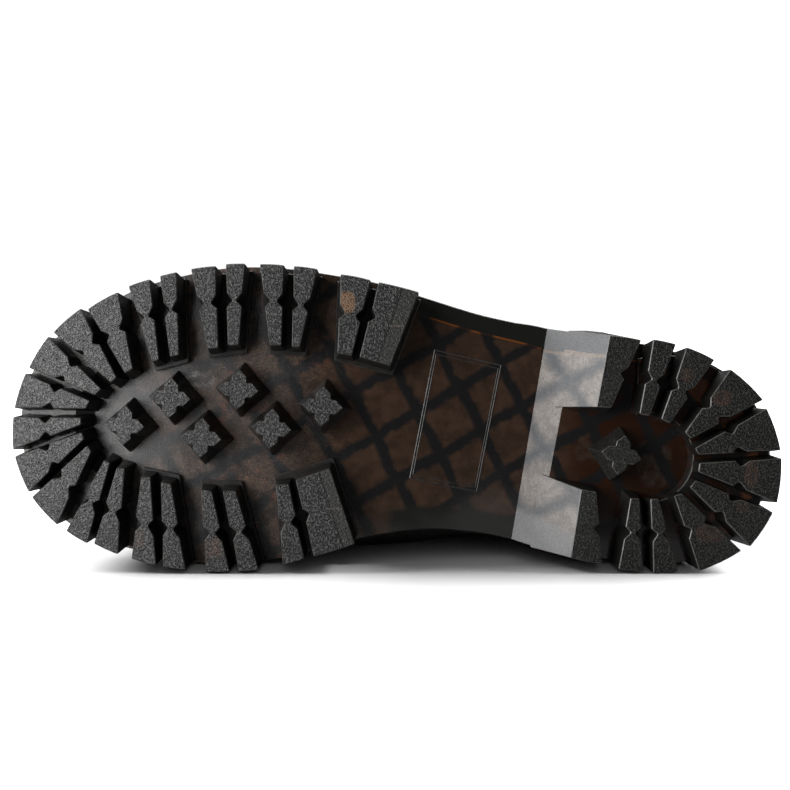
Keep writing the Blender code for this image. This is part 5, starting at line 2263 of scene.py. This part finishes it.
@dataclass
class Welt(Part):
    """The strip on the sole round the foot of the upper.

    The profile gives the points of its section: a share of the way from its inner to its outer
    edge, and a height over its foot.
    """

    setback: float = 0.5
    clearance: float = 1.2
    profile: tuple[Pair, ...] = (
        (0, 0), (1, 0), (1, 1.2), (0.97, 1.5), (0.97, 1.9), (1, 2.2), (1, 3.0), (0.93, 3.4),
        (0.84, 3.5), (0.12, 3.5), (0, 3.2),
    )
    stitch_at: Pair = (0.5376, 3.5)

    def loop(self, pick: Callable[[Station, Side], object]) -> list:
        """Values of a rule once round the shoe."""
        stations = OUTLINE.stations()
        return ([pick(s, Side.LATERAL) for s in stations]
                + [pick(s, Side.MEDIAL) for s in reversed(stations)])

    def place(self, station: Station, side: Side, share: float, height: float) -> Vector:
        """Find a point of the strip's section.

        Args:
            station: The line across the sole.
            side: Which end of it.
            share: Share of the way from the inner to the outer edge.
            height: Height over the strip's foot.

        Returns:
            The point.
        """
        edge = station.edge(side)
        inner = LAST.foot(edge, side, self.clearance)
        plan = inner.lerp(edge.moved(edge.top - self.setback), share)
        return Vector((*plan, HEIGHTS.top(station.x) + GAP + height))

    def section(self, station: Station, side: Side) -> list[Vector]:
        """The strip's section, its outer top edge rounded and scored."""
        return [self.place(station, side, share, height) for share, height in self.profile]

    def stitch_path(self) -> list[Spot]:
        """Places on the strip's top, for its stitches."""
        found = self.loop(lambda s, side: (self.place(s, side, *self.stitch_at), Vector((0, 0, 1))))
        return found + found[:1]

    def piece(self) -> Piece:
        """Form and finish the welt."""
        form = Form().grid(self.loop(self.section), around=True, closed=True)
        return Piece("scored_welt", form, (WELT_STRIP,), "welt", "welt_rubber", 30.0)


@dataclass
class Insole(Part):
    """The board and its sock inside the upper."""

    height: float = 3.0
    clearance: float = 0.7
    columns: int = 14
    edge_drop: float = 0.22
    dish: float = 0.35

    def form(self) -> Form:
        """Build a loop across for each station, its top edges rounded.

        Returns:
            A closed form.
        """
        loops = []
        for station in OUTLINE.stations():
            low = HEIGHTS.top(station.x) + GAP
            inwards = -WALL - self.clearance
            a, b = (LAST.foot(station.edge(side), side, inwards) for side in Side)
            top = []
            for k in range(self.columns + 1):
                across = 2 * k / self.columns - 1
                rise = self.height * (1 - self.edge_drop * across**10) - self.dish * (1 - across**2)
                top.append((*a.lerp(b, k / self.columns), low + rise))
            loops.append([(*a, low), *top, (*b, low)])
        return Form().grid(loops, around=True).close_ends(len(loops[0]))

    def piece(self) -> Piece:
        """Form and finish the insole."""
        return Piece("sock_insole", self.form(), (SOCK_LEATHER,), "insole", "sock_leather", 40.0)


@dataclass
class Stitching(Part):
    """A row of stitches, each a small sunk capsule of thread.

    The capsule gives its rings: a share of the length, a share of the radius and a depth.
    """

    name: str
    paths: Sequence[Sequence[Spot]]
    slot: str
    length: float = 2.7
    pitch: float = 3.6
    radius: float = 0.36
    sides: int = 6
    sink: float = 0.06
    capsule: tuple[Triple, ...] = (
        (0.0, 0.35, 0.2), (0.12, 0.85, 0.05), (0.5, 1.0, 0.0), (0.88, 0.85, 0.05), (1.0, 0.35, 0.2),
    )

    def stitch(self, start: Vector, way: Vector, normal: Vector) -> Form:
        """Build one stitch.

        Args:
            start: Where it starts.
            way: Its direction.
            normal: Normal of the leather under it.

        Returns:
            A closed form.
        """
        across = way.cross(normal).normalized()
        turns = [math.tau * k / self.sides for k in range(self.sides)]
        rows = []
        for share, thick, sink in self.capsule:
            centre = start + way * self.length * share - normal * (self.sink + sink)
            radius = self.radius * thick
            rows.append([centre + (across * math.cos(t) + normal * math.sin(t)) * radius
                         for t in turns])
        return Form().grid(rows, around=True).close_ends(self.sides)

    def form(self) -> Form:
        """Build all the stitches, at an even pitch along each path.

        Returns:
            The joined forms.
        """
        made = Form()
        for path in self.paths:
            travelled, due = 0.0, 0.0
            for (a, normal), (b, _) in zip(path, path[1:]):
                span, way = (b - a).length, (b - a).normalized()
                while span > 0 and due <= travelled + span:
                    made.join(self.stitch(a.lerp(b, (due - travelled) / span), way, normal))
                    due += self.pitch
                travelled += span
        return made

    def piece(self) -> Piece:
        """Form and finish the stitches."""
        return Piece(self.name, self.form(), (Thread(),), "", self.slot, 80.0, weld=0.0001)


STRAP, BINDING, BACKSTAY, WELT = SaddleStrap(), ToplineBinding(), Backstay(), Welt()
PARTS = (
    Outsole(), WELT, Insole(), Upper(), ApronSeam(), STRAP, BINDING, BACKSTAY,
    Stitching("welt_stitches", (WELT.stitch_path(),), "welt_rubber", 3.4, 4.6, 0.42),
    Stitching("upper_stitches",
              (STRAP.edge_path(True), STRAP.edge_path(False), BINDING.stitch_path(),
               BACKSTAY.stitch_path(-1), BACKSTAY.stitch_path(1)), "upper_leather", 2.0, 2.9, 0.26),
)


# --- studio


class Lamp(Enum):
    """The kinds of light: soft boxes fall on the shoe alone, and overcasts on the paper."""

    SOFTBOX = "AREA"
    OVERCAST = "SUN"


@dataclass(frozen=True)
class Light:
    """A light of the studio, its place and aim in the row's frame in metres."""

    name: str
    lamp: Lamp
    strength: float
    aim: Triple
    place: Triple = (0.0, 0.0, 0.0)
    size: Pair = (1.0, 1.0)
    angle_deg: float = 30.0

    def build(self, lit: bpy.types.Collection) -> None:
        """Make the light and turn it.

        Args:
            lit: What it falls on.
        """
        lamp = bpy.data.lights.new(self.name, self.lamp.value)
        lamp.energy = self.strength
        if self.lamp is Lamp.SOFTBOX:
            lamp.shape = "RECTANGLE"
            lamp.size, lamp.size_y = self.size
        else:
            lamp.angle = math.radians(self.angle_deg)
        made = put(self.name, lamp)
        made.location = self.place
        way = Vector(self.aim) - Vector(self.place)
        made.rotation_euler = way.to_track_quat("-Z", "Y").to_euler()
        made.light_linking.receiver_collection = lit


@dataclass(frozen=True)
class Paper(Finish):
    """The pale paper that the shoe lies on, which lights the shoe less than it shines itself."""

    name: str = "white paper"
    colour: Colour = (1.0, 1.0, 1.0)
    bounce: float = 0.15

    def dress(self, weave: Weave) -> None:
        """Build the material's nodes.

        Args:
            weave: The material.
        """
        seen = weave.node("ShaderNodeLightPath").outputs["Is Camera Ray"]
        tone = weave.tint(weave.noise(60.0, 3.0), self.colour, 0.80, 0.84)
        tone = weave.mix(seen, (self.bounce,) * 3, tone)
        normal = weave.bump(weave.noise(2.0, 2.0), 0.05, 0.02)
        weave.finish(Base_Color=tone, Roughness=0.85, Normal=normal)


@dataclass
class Studio:
    """White floor, soft light from the toe's side and a camera square to the sole."""

    floor_box: Row = (-1.6, -1.2, 1.6, 1.3)
    camera_offset: Pair = (-0.6, -8.6)
    camera_distance: float = 380.0
    field_width: float = 290.0
    background: float = 1.1
    ambient: float = 0.045
    sensor: float = 36.0
    near: float = 0.01
    lights: tuple[Light, ...] = (
        Light("front softbox", Lamp.SOFTBOX, 1.85, (-0.08, -0.06, 0.05), (-0.33, -0.42, 0.20),
              (0.20, 0.40)),
        Light("toe softbox", Lamp.SOFTBOX, 6.0, (0.0, -0.06, 0.06), (-0.62, -0.17, 0.24),
              (0.60, 0.50)),
        Light("top softbox", Lamp.SOFTBOX, 80.0, (0.0, 0.15, 0.0), (0.0, 1.15, 1.9), (2.4, 1.6)),
        Light("paper light, toe", Lamp.OVERCAST, 5.9, (0.75, -0.21, -0.62)),
        Light("paper light, heel", Lamp.OVERCAST, 5.9, (-0.75, -0.23, -0.62)),
        Light("paper fill", Lamp.OVERCAST, 0.5, (0.0, 0.0, -1.0), angle_deg=150.0),
    )

    def floor(self) -> bpy.types.Object:
        """Lay the paper.

        Returns:
            The floor.
        """
        left, front, right, back = self.floor_box
        mesh = bpy.data.meshes.new("paper_floor")
        corners = [(left, front, 0), (right, front, 0), (right, back, 0), (left, back, 0)]
        mesh.from_pydata(corners, [], [(0, 1, 2, 3)])
        mesh.materials.append(Paper().material())
        made = put("paper_floor", mesh)
        made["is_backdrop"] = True
        return made

    def camera(self) -> None:
        """Stand the camera square to the treads."""
        data = bpy.data.cameras.new("camera")
        data.sensor_width = self.sensor
        data.lens = self.sensor * self.camera_distance / self.field_width
        data.clip_start = self.near
        made = put("camera", data)
        turn = Matrix([LYING.aim(way) for way in ((1, 0, 0), (0, -1, 0), (0, 0, -1))]).transposed()
        made.matrix_world = turn.to_4x4()
        made.location = LYING.place((*self.camera_offset, -self.camera_distance))
        bpy.context.scene.camera = made

    def world(self) -> None:
        """White surroundings to the eye, dim ones to the shoe."""
        world = bpy.data.worlds.new("studio")
        bpy.context.scene.world = world
        world.use_nodes = True
        tree = world.node_tree
        tree.nodes.clear()
        path, joined, out = (tree.nodes.new("ShaderNode" + kind)
                             for kind in ("LightPath", "MixShader", "OutputWorld"))
        tree.links.new(path.outputs["Is Camera Ray"], joined.inputs[0])
        for socket, strength in ((1, self.ambient), (2, self.background)):
            glow = tree.nodes.new("ShaderNodeBackground")
            glow.inputs["Color"].default_value = (1.0, 1.0, 1.0, 1.0)
            glow.inputs["Strength"].default_value = strength
            tree.links.new(glow.outputs[0], joined.inputs[socket])
        tree.links.new(joined.outputs[0], out.inputs["Surface"])

    def build(self) -> None:
        """Set up floor, lights, camera and world."""
        groups = {lamp: bpy.data.collections.new("lit by " + lamp.name) for lamp in Lamp}
        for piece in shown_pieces():
            groups[Lamp.SOFTBOX].objects.link(piece)
        groups[Lamp.OVERCAST].objects.link(self.floor())
        for light in self.lights:
            light.build(groups[light.lamp])
        self.camera()
        self.world()
        bpy.context.scene.view_settings.view_transform = "Standard"


def write_sizes() -> None:
    """Compute the frame's box and the dressed model's box; nothing is written."""
    boxes = [[[float(v) for v in corner] for corner in box] for box in (CAD_BOX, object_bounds())]


def main() -> None:
    """Build the shoe's pieces in order, report each one, and set up the studio."""
    logging.basicConfig(level=logging.INFO, format="%(name)s %(message)s")
    for part in PARTS:
        made = part.build()
        LOG.info("%s: %d faces", made.name, len(made.data.polygons))
    Studio().build()
    write_sizes()


if __name__ == "__main__":
    main()
